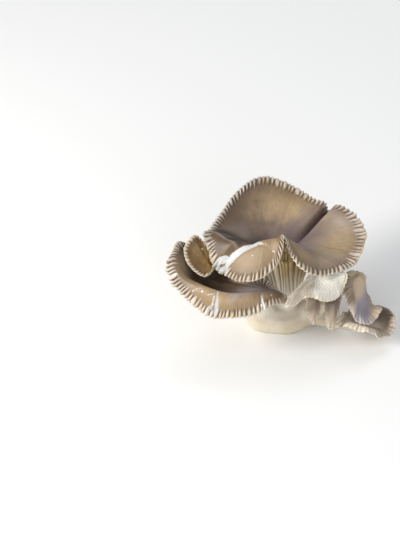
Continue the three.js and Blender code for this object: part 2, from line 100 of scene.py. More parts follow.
def add_lamp(name, place, size, power, colour):
    """A square area lamp at a place, turned so that its -Z axis points at the aim."""
    data = bpy.data.lights.new(name, "AREA")
    data.size = size
    data.energy = power
    data.color = colour
    lamp = placed(name, data)
    lamp.location = place
    x, y, z = np.array(LAMP_AIM) - np.array(place)
    lamp.rotation_euler = (math.atan2(math.hypot(x, y), -z), 0, math.atan2(y, x) - math.pi / 2)


add_lamp("key_lamp", (-0.95, -0.35, 0.65), size=0.4, power=14.5, colour=(1, 0.98, 0.94))
add_lamp("fill_lamp", (0.4, -1, 0.5), size=0.9, power=4.8, colour=(0.95, 0.97, 1))
add_lamp("back_lamp", (0.3, 0.8, 0.9), size=0.6, power=3, colour=(1, 1, 1))

world = bpy.data.worlds.new("studio")
world.use_nodes = True
background = world.node_tree.nodes["Background"]
background.inputs["Color"].default_value = WORLD_TONE
background.inputs["Strength"].default_value = WORLD_STRENGTH
bpy.context.scene.world = world
bpy.context.scene.view_settings.view_transform = "Standard"

corners = [(x * FLOOR_HALF, y * FLOOR_HALF, 0) for x, y in ((-1, -1), (1, -1), (1, 1), (-1, 1))]
floor_mesh = bpy.data.meshes.new("floor")
floor_mesh.from_pydata(corners, [], [(0, 1, 2, 3)])
floor = placed("floor", floor_mesh)

# %% [markdown]
# A material is a graph of nodes, and written out node by node it is hard to read. This small class
# wraps one socket, so that a formula such as `(1 - edge) * 0.3 + grain` adds its own Math nodes.
# Every other node comes from one method, `node`. Colours are mixed by `blend`, because a Math node
# would turn a colour grey. The first try-out is the floor: a matt sheet, nearly white.

# %% Shader maths
class Wire:
    """A socket of a node tree that can stand in a formula."""

    def __init__(self, tree, socket=None):
        self.tree = tree
        self.socket = socket

    def node(self, kind, settings, values, output=0):
        """Adds a node: its settings first, then a number or a wire for each named socket."""
        made = self.tree.nodes.new(kind)
        for key, value in settings.items():
            setattr(made, key, value)
        for key, value in values.items():
            if isinstance(value, Wire):
                self.tree.links.new(value.socket, made.inputs[key])
            else:
                made.inputs[key].default_value = value
        return Wire(self.tree, made.outputs[output])

    def math(self, operation, *others):
        """A Math node of this wire and the other values."""
        return self.node("ShaderNodeMath", {"operation": operation}, dict(enumerate((self, *others))))

    def __add__(self, other):
        return self.math("ADD", other)

    __radd__ = __add__

    def __mul__(self, other):
        return self.math("MULTIPLY", other)

    __rmul__ = __mul__

    def __sub__(self, other):
        return self.math("SUBTRACT", other)

    def __rsub__(self, other):
        return self * -1 + other

    def __truediv__(self, other):
        return self.math("DIVIDE", other)

    def __pow__(self, other):
        return self.math("POWER", other)

    def part(self, index):
        """One of the three numbers of a vector or a colour."""
        return self.node("ShaderNodeSeparateXYZ", {}, {0: self}, index)

    def step(self, low, high):
        """0 below low and 1 above high, with a smooth rise between them."""
        settings = {"interpolation_type": "SMOOTHSTEP"}
        limits = {"Value": self, "From Min": low, "From Max": high, "To Min": 0, "To Max": 1}
        return self.node("ShaderNodeMapRange", settings, limits)

    def blend(self, first, second):
        """The first colour where this wire is 0 and the second where it is 1."""
        return self.node("ShaderNodeMix", {"data_type": "RGBA"}, {0: self, 6: first, 7: second}, 2)


def rgb(red, green, blue):
    """A colour given as 0 to 255 on a screen, in the linear values that nodes work in."""
    shares = np.array([red, green, blue]) / 255
    linear = np.where(shares <= 0.04045, shares / 12.92, ((shares + 0.055) / 1.055) ** 2.4)
    return (*linear.tolist(), 1)


def new_material(name):
    """An empty material with one Principled shader, and a wire to start formulas from."""
    material = bpy.data.materials.new(name)
    material.use_nodes = True
    return material, material.node_tree.nodes["Principled BSDF"], Wire(material.node_tree)


FLOOR_TONE = rgb(240, 240, 238)
FLOOR_ROUGHNESS = 0.6
floor_material, floor_shader, _ = new_material("studio_floor")
floor_shader.inputs["Base Color"].default_value = FLOOR_TONE
floor_shader.inputs["Roughness"].default_value = FLOOR_ROUGHNESS
floor_mesh.materials.append(floor_material)
print("floor colour:", np.round(FLOOR_TONE, 2).tolist())

# %% [markdown]
# Skin, gills and stems are the same flesh, so their materials share a few moves. Noise breaks up
# every even colour. A bump map raises fibres too fine for the mesh. Light also sinks into the flesh
# and comes out reddened, which is what tells a mushroom from painted clay. A pattern that belongs to
# the piece reads values that its mesh carries, and any other reads the place on the piece.

# %% Moves that the flesh materials share
def plug(shader, socket, wire):
    """Leads a wire into a socket of the shader."""
    wire.tree.links.new(wire.socket, shader.inputs[socket])


def noise(vector, scale, detail=3, roughness=0.55):
    """Noise from 0 to 1 over a vector."""
    values = {"Vector": vector, "Scale": scale, "Detail": detail, "Roughness": roughness}
    return vector.node("ShaderNodeTexNoise", {}, values)


def attribute(start, name, output="Fac"):
    """A value that the mesh carries on its points."""
    return start.node("ShaderNodeAttribute", {"attribute_name": name}, {}, output)


def object_place(start):
    """The place of a point on the piece, in metres."""
    return start.node("ShaderNodeTexCoord", {}, {}, "Object")


def raise_relief(shader, height, strength, distance):
    """Bends the shader's normal by a height, whose whole range stands for a distance in metres."""
    values = {"Height": height, "Strength": strength, "Distance": distance}
    plug(shader, "Normal", height.node("ShaderNodeBump", {}, values))


def let_light_in(shader, weight, radius, depth):
    """Lets light sink into the flesh: its share, how far each colour goes, and the depth in metres."""
    for key, value in (("Weight", weight), ("Radius", radius), ("Scale", depth)):
        shader.inputs[f"Subsurface {key}"].default_value = value


FLESH_WHITE = rgb(242, 243, 244)
print("the whitest flesh:", np.round(FLESH_WHITE, 2).tolist())

# %% [markdown]
# A cap has no simple formula: it is a sheet that grew in every direction at once and ran out of
# room. But it can be drawn by its ribs, the lines that run from the stem out to the margin. Each rib
# here passes three points in millimetres, one in the throat, one on the lip and one on the margin,
# and the ribs follow each other anticlockwise, seen from the skin side. They are the same ribs that
# the solids were made from, so the fine surfaces lie exactly where the solids do.
#
# Pleats and gills are counted, the thickness is that at the pole, and gill_share is the part of the
# full depth that the gills have. A route is the middle line of a stem, and a neck is the disc on
# which a cap's gills end, where they run down the stem: its centre, the way the stem goes on, its
# radius, and the share of the cap at which the gills leave it. Tears and folds are lines on the
# skin, and frills are spots on the margin. The fourth number of a point is a stem's radius or half
# the width of a tear.

# %% The mushrooms
MUSHROOMS = {
    # The widest mushroom: a funnel whose front wall has folded outward and torn.
    "crown": dict(
        pleats=108, gills=248, gill_share=1, thickness=3,
        frills=[(66, 34, 70), (68, 20, 68), (62, 2, 66), (-60, 6, 71), (-50, -8, 65)],
        tears=[
            [(-44.5, -18, 59, 1), (-42.5, -12, 65, 2.4), (-37.5, -10, 72, 3.2), (-31.5, -9, 78, 3),
             (-24, -8.5, 82, 2.8), (-18, -8.5, 84, 2.3), (-13, -11, 85, 1.5), (-9, -15, 84, 1),
             (-4, -19, 83, 1)],
            [(-52, -9, 63, 2), (-48, -9, 67, 3.2), (-44, -9, 69, 3)],
            [(-49, -12, 61, 2.5), (-45, -14, 61, 2.5)],
        ],
        folds=[[(14, 18, 58, 0), (32, 37, 62, 0), (42, 51, 68, 0)]],
        pole=(-6, 8, 52),
        ribs=[
            # The right lobe.
            ((16, 12, 65), (42, 10, 69), (66, 12, 68)),
            ((16, 15, 65), (42, 21, 71), (66, 27, 71)),
            ((16, 17, 64), (38, 30, 73), (58, 41, 75)),
            ((15, 19, 63), (34, 37, 74), (46, 48, 78)),
            # The crease between the two lobes.
            ((13, 21, 58), (30, 39, 62), (40, 53, 68)),
            # The back lobe.
            ((8, 24, 62), (23, 38, 70), (36, 54, 76)),
            ((4, 25, 64), (17, 42, 70), (29, 60, 74)),
            ((-1, 25, 64), (7, 46, 71), (16, 66, 79)),
            ((-6, 25, 64), (-2, 47, 74), (3, 68, 86)),
            ((-11, 25, 65), (-12, 46, 76), (-11, 68, 91)),
            ((-16, 23, 66), (-22, 42, 76), (-24, 62, 91)),
            ((-20, 20, 67), (-31, 36, 74), (-37, 51, 86)),
            ((-23, 16, 68), (-38, 27, 73), (-47, 37, 80)),
            ((-25, 12, 69), (-46, 19, 75), (-56, 22, 76)),
            # The strip that rolls over on the left.
            ((-25, 9, 70), (-46, 11, 79), (-61, 14, 74)),
            ((-24, 6, 71), (-45, 4, 79), (-58, 2, 70)),
            ((-21, 2, 72), (-38, -3, 81), (-53, -10, 61)),
            ((-18, 0, 73), (-33, -5, 79), (-48, -14, 59)),
            # The flap that hangs over the front.
            ((-14, -1, 74), (-27, -8, 81), (-44, -18, 59)),
            ((-10, -2, 74), (-21, -8, 84), (-34, -27, 61)),
            ((-6, -3, 74), (-14, -9, 87), (-19, -31, 66)),
            ((-3, -3, 74), (-8, -9, 89), (-6, -27, 75)),
            ((-1, -2, 73), (-4, -9, 90), (0, -20, 87)),
            # The notch at the front.
            ((1, 0, 72), (0, -6, 89), (2, -10, 92)),
            # The front of the right lobe, rolled over.
            ((4, 2, 70), (7, -3, 83), (7, -18, 81)),
            ((8, 4, 68), (14, -2, 77), (15, -26, 74)),
            ((11, 6, 67), (26, -6, 69), (29, -26, 66)),
            ((13, 8, 66), (38, -8, 67), (44, -20, 65)),
            ((15, 10, 66), (42, 0, 66), (58, -8, 64)),
        ],
        neck=dict(centre=(4, -2, 23), down=(0.1, 0, -1), radius=9.5, share=0.56),
        route=[(4, -2, 23, 9.5), (3, -1, 8, 13), (2, 0, 2, 17)],
    ),
    # The mushroom in front: a trough, open to the right, that rolls over at its lip.
    "front": dict(
        pleats=74, gills=152, gill_share=1, thickness=2.6,
        frills=[(-88, -14, 58), (-82, -26, 54), (-72, -37, 50), (-58, -48, 44)],
        tears=[
            [(-50, -37, 61, 0.8), (-51, -44, 54, 1.5), (-52, -48, 46, 2.2)],
            [(-53, -41, 58, 0.5), (-54, -43.5, 53.5, 0.9), (-56, -45.5, 48.5, 1.2),
             (-58.5, -48, 44.5, 1.5)],
            [(-16, -34, 57, 0.7), (-15.5, -41.5, 52, 1), (-14, -45, 48, 1.2)],
            [(-70, -34.5, 57.5, 0.2), (-67, -34.5, 60, 0.4), (-64, -35, 61, 0.45),
             (-61, -36.5, 61, 0.3)],
            [(-60, -40, 58, 0.2), (-57, -40, 58.5, 0.4), (-53, -39.5, 59.3, 0.4)],
        ],
        pole=(-15, -18, 46),
        ribs=[
            # The short side beside the crown's stem.
            ((-11, -18, 46), (-8, -17, 46), (-4, -17, 47)),
            ((-14, -16, 46), (-14, -13, 47), (-14, -11, 51)),
            ((-18, -15, 46), (-21, -12, 46), (-25, -7, 50)),
            # The back wall of the trough.
            ((-25, -12, 45), (-32, -8, 45), (-37, -1, 48)),
            ((-38, -7, 43), (-46, -1, 44), (-51, 5, 47)),
            ((-48, -5, 43), (-57, 4, 48), (-65, 12, 58)),
            ((-56, -4, 45), (-69, 4, 56), (-80, 12, 70)),
            # The left end, which flares.
            ((-60, -7, 46), (-78, 0, 65), (-86, 0, 69)),
            ((-60, -11, 45), (-80, -10, 65), (-90, -10, 63)),
            # The band that rolls over, round to the right tip.
            ((-58, -15, 44), (-76, -21, 62), (-86, -20, 55)),
            ((-52, -19, 43), (-66, -30, 62), (-78, -32, 52)),
            ((-44, -22, 43), (-56, -36, 61), (-67, -42, 47)),
            ((-35, -25, 45), (-46, -39, 59), (-56, -49, 43)),
            ((-27, -26, 47), (-35, -39, 58), (-38, -51, 44)),
            ((-20, -26, 48), (-24, -36, 57), (-23, -49, 45)),
            ((-14, -24, 48), (-11, -32, 54), (-10, -43, 49)),
            ((-10, -21, 47), (-3, -25, 48), (5, -30, 44)),
        ],
        neck=dict(centre=(-18, -14, 32), down=(0.3, 0.2, -0.9), radius=7, share=0.38),
        route=[(-18, -14, 32, 7), (-14, -10, 16, 9), (-8, -6, 4, 12)],
    ),
    # The spoon-shaped mushroom on the left.
    "left": dict(
        pleats=30, gills=56, gill_share=0.5, thickness=1.6,
        pole=(-58, -2, 60),
        ribs=[
            ((-55, -2, 59), (-52, -1, 59), (-50, -1, 59)),
            ((-55, 0, 60), (-53, 2, 62), (-51, 4, 63)),
            ((-58, 2, 62), (-59, 6, 66), (-59, 9, 69)),
            ((-60, 3, 63), (-63, 8, 69), (-66, 13, 75)),
            ((-61, 2, 63), (-66, 6, 70), (-71, 9, 76)),
            ((-63, 0, 62), (-70, 2, 67), (-76, 2, 71)),
            ((-63, -3, 60), (-69, -3, 63), (-75, -4, 65)),
            ((-62, -5, 59), (-66, -8, 59), (-70, -10, 61)),
            ((-59, -6, 58), (-60, -12, 57), (-61, -16, 58)),
            ((-56, -5, 59), (-55, -8, 58), (-55, -11, 58)),
        ],
        route=[(-58, 2, 54, 3), (-50, 6, 53, 3.5), (-42, 10, 49, 4.5), (-33, 10, 39, 5.5),
               (-24, 9, 28, 7), (-14, 5, 14, 9), (-8, 2, 5, 11)],
    ),
    # The lobe on the right that is turned over, so that its gills face up and forward.
    "turned": dict(
        pleats=40, gills=100, gill_share=0.6, thickness=1.4,
        pole=(27, -15, 58),
        ribs=[
            ((31, -15, 59), (37, -14, 60), (43, -14, 61)),
            ((33, -17, 58), (43, -18, 60), (51, -18, 60)),
            ((33, -18, 57), (43, -20, 57), (50, -22, 54)),
            ((33, -19, 56), (42, -23, 54), (46, -26, 48)),
            ((31, -20, 55), (38, -26, 52), (41, -29, 44)),
            ((29, -21, 54), (32, -28, 51), (33, -31, 44)),
            ((26, -21, 54), (25, -29, 52), (25, -32, 48)),
            ((24, -21, 54), (19, -30, 53), (18, -34, 50)),
            ((23, -21, 54), (16, -31, 52), (10, -37, 45)),
            ((22, -20, 54), (13, -30, 52), (2, -38, 45)),
            ((22, -19, 55), (14, -27, 54), (6, -33, 52)),
            ((23, -17, 56), (19, -20, 55), (15, -23, 55)),
            ((26, -14, 58), (25, -13, 59), (24, -12, 59)),
            ((28, -14, 59), (29, -13, 60), (30, -12, 61)),
        ],
        route=[(28, -13, 56, 3), (30, -8, 46, 3.5), (30, -5, 34, 4.5), (24, -4, 19, 7), (12, -2, 6, 9)],
    ),
    # Two small tongues that hang under the turned lobe.
    "tongue_left": dict(
        pleats=20, gills=32, gill_share=0.4, thickness=1.5,
        pole=(27, -20, 41),
        ribs=[
            ((29, -21, 41), (31, -22, 40), (32, -23, 39)),
            ((28, -18, 41), (28, -16, 41), (29, -14, 41)),
            ((25, -19, 41), (22, -19, 40), (20, -18, 39)),
            ((24, -22, 41), (20, -25, 38), (18, -24, 34)),
            ((25, -24, 41), (20, -29, 35), (18, -30, 31)),
            ((26, -25, 41), (24, -34, 33), (22, -36, 28)),
            ((27, -26, 41), (26, -35, 33), (26, -38, 25)),
            ((28, -25, 41), (29, -33, 34), (30, -34, 31)),
            ((29, -23, 41), (31, -27, 37), (31, -28, 35)),
        ],
        route=[(27, -18, 35, 3), (24, -12, 24, 4.5), (18, -8, 13, 7), (11, -5, 5, 9)],
    ),
    "tongue_right": dict(
        pleats=22, gills=36, gill_share=0.4, thickness=1.5,
        pole=(42, -18, 40),
        ribs=[
            ((45, -19, 40), (47, -19, 39), (48, -19, 38)),
            ((43, -16, 40), (43, -13, 40), (43, -11, 40)),
            ((39, -17, 40), (37, -18, 39), (35, -18, 38)),
            ((39, -20, 40), (36, -24, 37), (34, -27, 35)),
            ((40, -22, 40), (37, -30, 33), (34, -33, 29)),
            ((41, -23, 40), (38, -34, 30), (36, -39, 23)),
            ((42, -24, 40), (41, -35, 30), (41, -40, 23)),
            ((43, -23, 40), (44, -31, 32), (44, -32, 29)),
            ((44, -21, 40), (46, -25, 36), (46, -25, 34)),
        ],
        route=[(41, -15, 34, 3), (35, -10, 23, 4.5), (26, -7, 14, 7), (14, -4, 6, 9)],
    ),
    # The drooping cap on the right.
    "right": dict(
        pleats=36, gills=68, gill_share=0.5, thickness=1.7,
        pole=(61, -8, 50),
        ribs=[
            ((64, -6, 48), (66, -4, 45), (67, -2, 42)),
            ((62, -4, 50), (63, -2, 50), (64, 0, 49)),
            ((58, -6, 50), (55, -6, 51), (53, -5, 53)),
            ((57, -10, 49), (53, -11, 48), (48, -11, 47)),
            ((57, -13, 47), (55, -18, 41), (51, -21, 37)),
            ((58, -14, 46), (59, -25, 36), (56, -31, 29)),
            ((60, -15, 45), (61, -27, 32), (60, -34, 25)),
            ((61, -15, 44), (64, -26, 30), (69, -34, 23)),
            ((62, -14, 43), (67, -22, 29), (75, -28, 24)),
            ((63, -13, 43), (70, -18, 29), (80, -19, 27)),
            ((64, -12, 43), (69, -14, 30), (76, -13, 25)),
            ((65, -10, 44), (68, -10, 33), (71, -9, 27)),
            ((65, -8, 46), (67, -7, 39), (68, -5, 34)),
        ],
        neck=dict(centre=(59, -4, 42), down=(-0.4, 0.3, -0.85), radius=3.2, share=0.45),
        route=[(59, -4, 42, 3.2), (49, -1, 32, 5), (36, 0, 21, 6.5), (22, 1, 12, 9), (10, 1, 7, 10)],
    ),
    # The lowest cap on the right: an ear that curls up at its outer end.
    "ear": dict(
        pleats=40, gills=76, gill_share=0.6, thickness=1.8,
        pole=(66, -22, 12),
        ribs=[
            ((73, -20, 12), (80, -20, 13), (90, -26, 18)),
            ((73, -16, 12), (79, -12, 14), (88, -18, 20)),
            ((70, -14, 13), (75, -8, 15), (83, -10, 20)),
            ((66, -14, 13), (67, -8, 15), (68, -3, 18)),
            ((62, -16, 13), (59, -12, 15), (58, -8, 19)),
            ((60, -19, 14), (54, -17, 18), (52, -20, 22)),
            ((59, -22, 15), (52, -24, 21), (45, -27, 24)),
            ((60, -25, 16), (53, -29, 23), (43, -33, 21)),
            ((61, -27, 16), (57, -32, 23), (53, -37, 23)),
            ((64, -28, 16), (64, -34, 22), (63, -40, 21)),
            ((68, -27, 14), (72, -33, 18), (74, -39, 18)),
            ((71, -26, 13), (77, -30, 14), (80, -38, 12)),
            ((73, -24, 12), (80, -27, 12), (87, -33, 13)),
        ],
        neck=dict(centre=(57, -18, 7), down=(-1, 0.2, 0), radius=3.5, share=0.45),
        route=[(57, -18, 7, 3.5), (44, -14, 7, 4.5), (28, -9, 8, 6), (14, -5, 8, 7)],
    ),
}
UNLESS_GIVEN = {"frills": [], "tears": [], "folds": [], "neck": None}
for name, mushroom in MUSHROOMS.items():
    in_arrays = {key: np.array(mushroom[key], float) for key in ("pole", "ribs", "route")}
    MUSHROOMS[name] = {**UNLESS_GIVEN, **mushroom, **in_arrays}
print("mushrooms:", ", ".join(MUSHROOMS))

# %% [markdown]
# Between the ribs the surface is worked out with two classic curves. Round the cap, a closed
# Catmull-Rom curve runs through the throat points, another through the lip points and a third
# through the margin points. From the pole outward, a Hermite curve passes the three points that
# those loops give. Columns are spaced evenly along the margin, because crimps are.

# %% Curves through the ribs
RIB_STEPS = 96
MARGIN_STEPS = 24
POLE_SPEED = 1.2
POLE_FLATNESS = 0.7
MARGIN_SPEED = 1.3
MARGIN_BEND = 0.3


def unit(vectors):
    """The vectors scaled to length 1."""
    return vectors / np.maximum(np.linalg.norm(vectors, axis=-1, keepdims=True), 1e-9)


def walked_along(points):
    """How far each point lies along its line of points, where the lines run down the first axis:
    the sum of the straight steps up to it."""
    steps = np.linalg.norm(np.diff(points, axis=0), axis=-1)
    return np.concatenate([np.zeros((1, *steps.shape[1:])), np.cumsum(steps, axis=0)])


def hermite(start, stop, leave, arrive, t):
    """The cubic from start to stop that leaves and arrives with the given speeds:
    (2t^3 - 3t^2 + 1) start + (t^3 - 2t^2 + t) leave + (3t^2 - 2t^3) stop + (t^3 - t^2) arrive."""
    square, cube = t * t, t * t * t
    return ((2 * cube - 3 * square + 1) * start + (cube - 2 * square + t) * leave
            + (3 * square - 2 * cube) * stop + (cube - square) * arrive)


def around_loop(points, turns):
    """Closed Catmull-Rom curve: the speed at each point is half the step between its neighbours."""
    first = np.floor(turns).astype(int)
    t = (turns - first).reshape(-1, *[1] * (points.ndim - 1))
    before, start, stop, after = (points[(first + step) % len(points)] for step in (-1, 0, 1, 2))
    return hermite(start, stop, (stop - before) / 2, (after - start) / 2, t)


def margin_turns(ribs, shares):
    """The turns of the loops at which the given shares of the margin's length are walked, and that
    length. Each rib's stretch of the margin is cut into fine steps, and their lengths are added up."""
    fine = np.arange(MARGIN_STEPS * len(ribs) + 1) / MARGIN_STEPS
    walked = walked_along(around_loop(ribs[:, 2], fine))
    return np.interp(shares * walked[-1], walked, fine), walked[-1]


def rib_curves(mushroom, turns):
    """A fine curve for each column, in an array of rows by columns by 3. It leaves the pole nearly
    square to the cap's axis, which is the sum of the cross products of neighbouring throat arms."""
    pole, ribs = mushroom["pole"], mushroom["ribs"]
    arms = ribs[:, 0] - pole
    axis = unit(np.cross(arms, np.roll(arms, -1, axis=0)).sum(axis=0))
    throat, lip, margin = np.moveaxis(around_loop(ribs, turns), 1, 0)
    at_pole = POLE_SPEED * (throat - pole)
    at_pole -= POLE_FLATNESS * (at_pole @ axis)[:, None] * axis
    at_throat, at_lip = (lip - pole) / 2, (margin - throat) / 2
    at_margin = MARGIN_SPEED * (margin - lip) - MARGIN_BEND * at_lip
    points = np.stack([np.broadcast_to(pole, throat.shape), throat, lip, margin])
    speeds = np.stack([at_pole, at_throat, at_lip, at_margin])
    place = np.linspace(0, 3, RIB_STEPS + 1)
    span = np.minimum(place.astype(int), 2)
    t = (place - span)[:, None, None]
    return hermite(points[span], points[span + 1], speeds[span], speeds[span + 1], t)


for name, mushroom in MUSHROOMS.items():
    _, mushroom["girth"] = margin_turns(mushroom["ribs"], np.zeros(1))
    spacing = mushroom["girth"] / mushroom["pleats"]
    print(f"{name}: margin {mushroom['girth']:.0f} mm, crimps {spacing:.1f} mm apart")

# %% [markdown]
# A sheet is a grid on those curves. Its rows are numbered by a share: 0 at the pole, 1 where the
# crimped band starts and 2 on the margin, so the band is equally wide on long ribs and short ones.
# The crimps and the flesh are laid along the sheet's normals, which are averaged over their
# neighbours first. Where the sheet bends tightly they disagree, and their average comes out shorter
# than 1. That is useful, because flesh as thick as elsewhere would poke through itself there.

# %% The smooth sheet of a cap
CRIMP_REACH = 6
SMOOTHING_STEPS = (1, 2, 4, 8)
SMOOTHING_PASSES = 2


def far_out(shares, length):
    """How far out each row lies on each rib, 0 at the pole and 1 on the margin. The crimped rows are
    all as long, so the plain part is length / (length + crimp reach) of a rib."""
    plain = length / (length + CRIMP_REACH)
    shares = shares[:, None]
    return np.where(shares <= 1, shares * plain, plain + (1 - plain) * (shares - 1))


def smoothed(grid):
    """Averages a grid with its neighbours, which wrap round along the columns. Column steps that
    double each time make the average wide with few passes."""
    for step in SMOOTHING_STEPS:
        grid = (np.roll(grid, step, axis=1) + 2 * grid + np.roll(grid, -step, axis=1)) / 4
    for _ in range(SMOOTHING_PASSES):
        padded = np.concatenate([grid[:1], grid, grid[-1:]])
        grid = (padded[:-2] + 2 * grid + padded[2:]) / 4
    return grid


def cap_sheet(mushroom, columns, shares):
    """The smooth sheet of a cap at the given columns (shares of the margin) and rows. Gives places,
    unit normals on the skin side, the ease (1 where the sheet is flat, less in a tight bend), and
    each rib's length, in millimetres. A place is looked up on its rib by the length walked."""
    turns, _ = margin_turns(mushroom["ribs"], columns)
    curve = rib_curves(mushroom, turns)
    walked = walked_along(curve)
    length = walked[-1]
    wanted = far_out(shares, length) * length
    slot = (walked[None, :-1] <= wanted[:, None]).sum(axis=1) - 1
    start = np.take_along_axis(walked, slot, axis=0)
    t = ((wanted - start) / (np.take_along_axis(walked, slot + 1, axis=0) - start))[..., None]
    low = np.take_along_axis(curve, slot[..., None], axis=0)
    high = np.take_along_axis(curve, slot[..., None] + 1, axis=0)
    places = low + (high - low) * np.clip(t, 0, 1)
    along = np.roll(places, -1, axis=1) - np.roll(places, 1, axis=1)
    normals = smoothed(unit(np.cross(np.gradient(places, axis=0), along)))
    ease = np.linalg.norm(normals, axis=2)
    return places, unit(normals), ease, length


example = cap_sheet(MUSHROOMS["crown"], np.arange(100) / 100, np.linspace(0.1, 2, 20))
print("ribs of the crown, in mm:", example[3].min().round(), "to", example[3].max().round())

# %% [markdown]
# Every cap and every gill layer is one closed skin: rings of points from the pole on one face, over
# the rim, to a pole on the other face. One helper closes the rings into faces, gives the mesh its UV
# map, and hangs extra values on the points for the materials to read. It hands whole arrays to
# Blender with foreach_set, which is many times faster than adding faces one by one.

# %% Meshes from rings
def ring_uv(rows, u, v):
    """The UV of every face corner, in the order of closed_mesh's faces. u has a value for each
    column and goes on past the last one, so that the seam doesn't fold back."""
    columns = len(u)
    u_next = np.append(u[1:], u[0] + (u[1] - u[0]) * columns)
    side = np.broadcast_to(np.arange(columns), (rows - 1, columns)).ravel()
    row, beside = np.repeat(np.arange(rows - 1), columns), (side + 1) % columns
    u_quads = np.stack([u[side], u[side], u_next[side], u_next[side]], axis=-1)
    v_quads = np.stack([v[row, side], v[row + 1, side], v[row + 1, beside], v[row, beside]], axis=-1)
    u_fan = np.stack([u, u, u_next], axis=-1)
    u_all = np.concatenate([u_quads.ravel(), u_fan.ravel(), u_fan[:, [0, 2, 1]].ravel()])
    v_all = np.concatenate([v_quads.ravel(), np.repeat(v[0], 3), np.repeat(v[-1], 3)])
    return np.stack([u_all, v_all], axis=-1)


def closed_mesh(name, rings, ends, uv, values, material):
    """Faces between the rings (rows by columns by 3, in mm), with a fan to a point at each end. The
    rings run round anticlockwise, seen from the first end. uv gives a u for each column and a v for
    each point, and values maps a name to one number or vector a point, rows by columns."""
    rows, columns = rings.shape[:2]
    points = np.concatenate([rings.reshape(-1, 3), np.array(ends)]) * MM
    number = np.arange(rows * columns).reshape(rows, columns)
    beside = np.roll(number, -1, axis=1)
    first, last = rows * columns, rows * columns + 1
    quads = np.stack([number[:-1], number[1:], beside[1:], beside[:-1]], axis=-1).reshape(-1, 4)
    top = np.stack([np.full(columns, first), number[0], beside[0]], axis=-1)
    bottom = np.stack([np.full(columns, last), beside[-1], number[-1]], axis=-1)
    corners = np.concatenate([quads.ravel(), top.ravel(), bottom.ravel()])
    sizes = np.concatenate([np.full(len(quads), 4), np.full(2 * columns, 3)])

    mesh = bpy.data.meshes.new(name)
    mesh.vertices.add(len(points))
    mesh.vertices.foreach_set("co", points.ravel())
    mesh.loops.add(len(corners))
    mesh.loops.foreach_set("vertex_index", corners)
    mesh.polygons.add(len(sizes))
    mesh.polygons.foreach_set("loop_start", np.concatenate([[0], np.cumsum(sizes)[:-1]]))
    mesh.update(calc_edges=True)
    mesh.uv_layers.new(name="UVMap").data.foreach_set("uv", ring_uv(rows, *uv).ravel())
    for key, grid in values.items():
        kind, field = ("FLOAT_VECTOR", "vector") if grid.ndim == 3 else ("FLOAT", "value")
        cells = grid.reshape(rows, columns, -1)
        numbers = [cells.reshape(rows * columns, -1), cells[:1].mean(axis=1), cells[-1:].mean(axis=1)]
        mesh.attributes.new(key, kind, "POINT").data.foreach_set(field, np.concatenate(numbers).ravel())
    mesh.shade_smooth()
    mesh.materials.append(material)
    return placed(name, mesh)


print("corners of 10 rings by 8 columns:", len(ring_uv(10, np.arange(8), np.zeros((10, 8)))))

# %% [markdown]
# The margin is what makes this mushroom. Its skin outgrew the flesh, so it stands in crimps, like
# the edge of a pie: broad rounded ridges, and narrow dips that reach a little less far out. Some
# stretches dried and tore and stand up as a white frill. The crimps are a wave laid over the
# sheet's own normals, so one function serves the cap and the gills under it. Small lobes hardly
# crimp: two slow waves round the margin ruffle them instead.

# %% Crimps
CRIMP_HEIGHT = 1.15
CRIMP_SLENDERNESS = 0.34
CRIMP_LENGTH = 8.5
CRIMP_FULL = 1
CRIMP_ROUNDNESS = 0.6
CRIMP_DRIFT = 0.25
CRIMP_LEAST, CRIMP_SPREAD = 0.75, 0.5
SCALLOP = 1.0
SCALLOP_SPREAD = 0.5
TIP_CURL = 0.7
FRILL_HEIGHT = 1.1
FRILL_SPREAD = 16
FRILL_WAVE = 0.63
RUFFLES = {"turned": 0.9, "tongue_left": 0.5, "tongue_right": 0.5, "right": 1.3, "ear": 1.5}
RUFFLE_LENGTHS = (17, 9.5)
RUFFLE_START = 0.6
SOFT_CRIMPS = 0.3
SMALL_CRIMPS = {"left": 0.5}


def ramp(values, low, high):
    """Smooth step in numbers: 0 below low, 1 above high and 3t^2 - 2t^3 between."""
    t = np.clip((values - low) / (high - low), 0, 1)
    return t * t * (3 - 2 * t)


def near(points, spots, reach):
    """1 within half the reach of any of the spots, falling to 0 at the whole of it."""
    if not spots:
        return np.zeros(len(points))
    gaps = np.linalg.norm(points[:, None] - np.array(spots, float), axis=-1)
    return 1 - ramp(gaps.min(axis=-1), 0.5 * reach, reach)


def drifted(turns, count, reach, seed):
    """The turns with a smooth random drift, so that the things they count differ in width."""
    drift = np.random.default_rng(seed).uniform(-reach, reach, count)
    return turns + around_loop(drift[:, None], turns)[:, 0]


def pleat_turns(mushroom, columns):
    """The pleat number of each column. Its whole part names the pleat, and a pleat is one ridge."""
    pleats = mushroom["pleats"]
    return drifted(columns * pleats, pleats, CRIMP_DRIFT, pleats + 7)


def ruffle_wave(girth, columns):
    """Two slow waves round the margin, each with a whole number of crests: 0.6 of one sine and 0.4
    of another."""
    slow, quick = np.round(girth / np.array(RUFFLE_LENGTHS))
    return 0.6 * np.sin(2 * np.pi * slow * columns + 1) + 0.4 * np.sin(2 * np.pi * quick * columns)


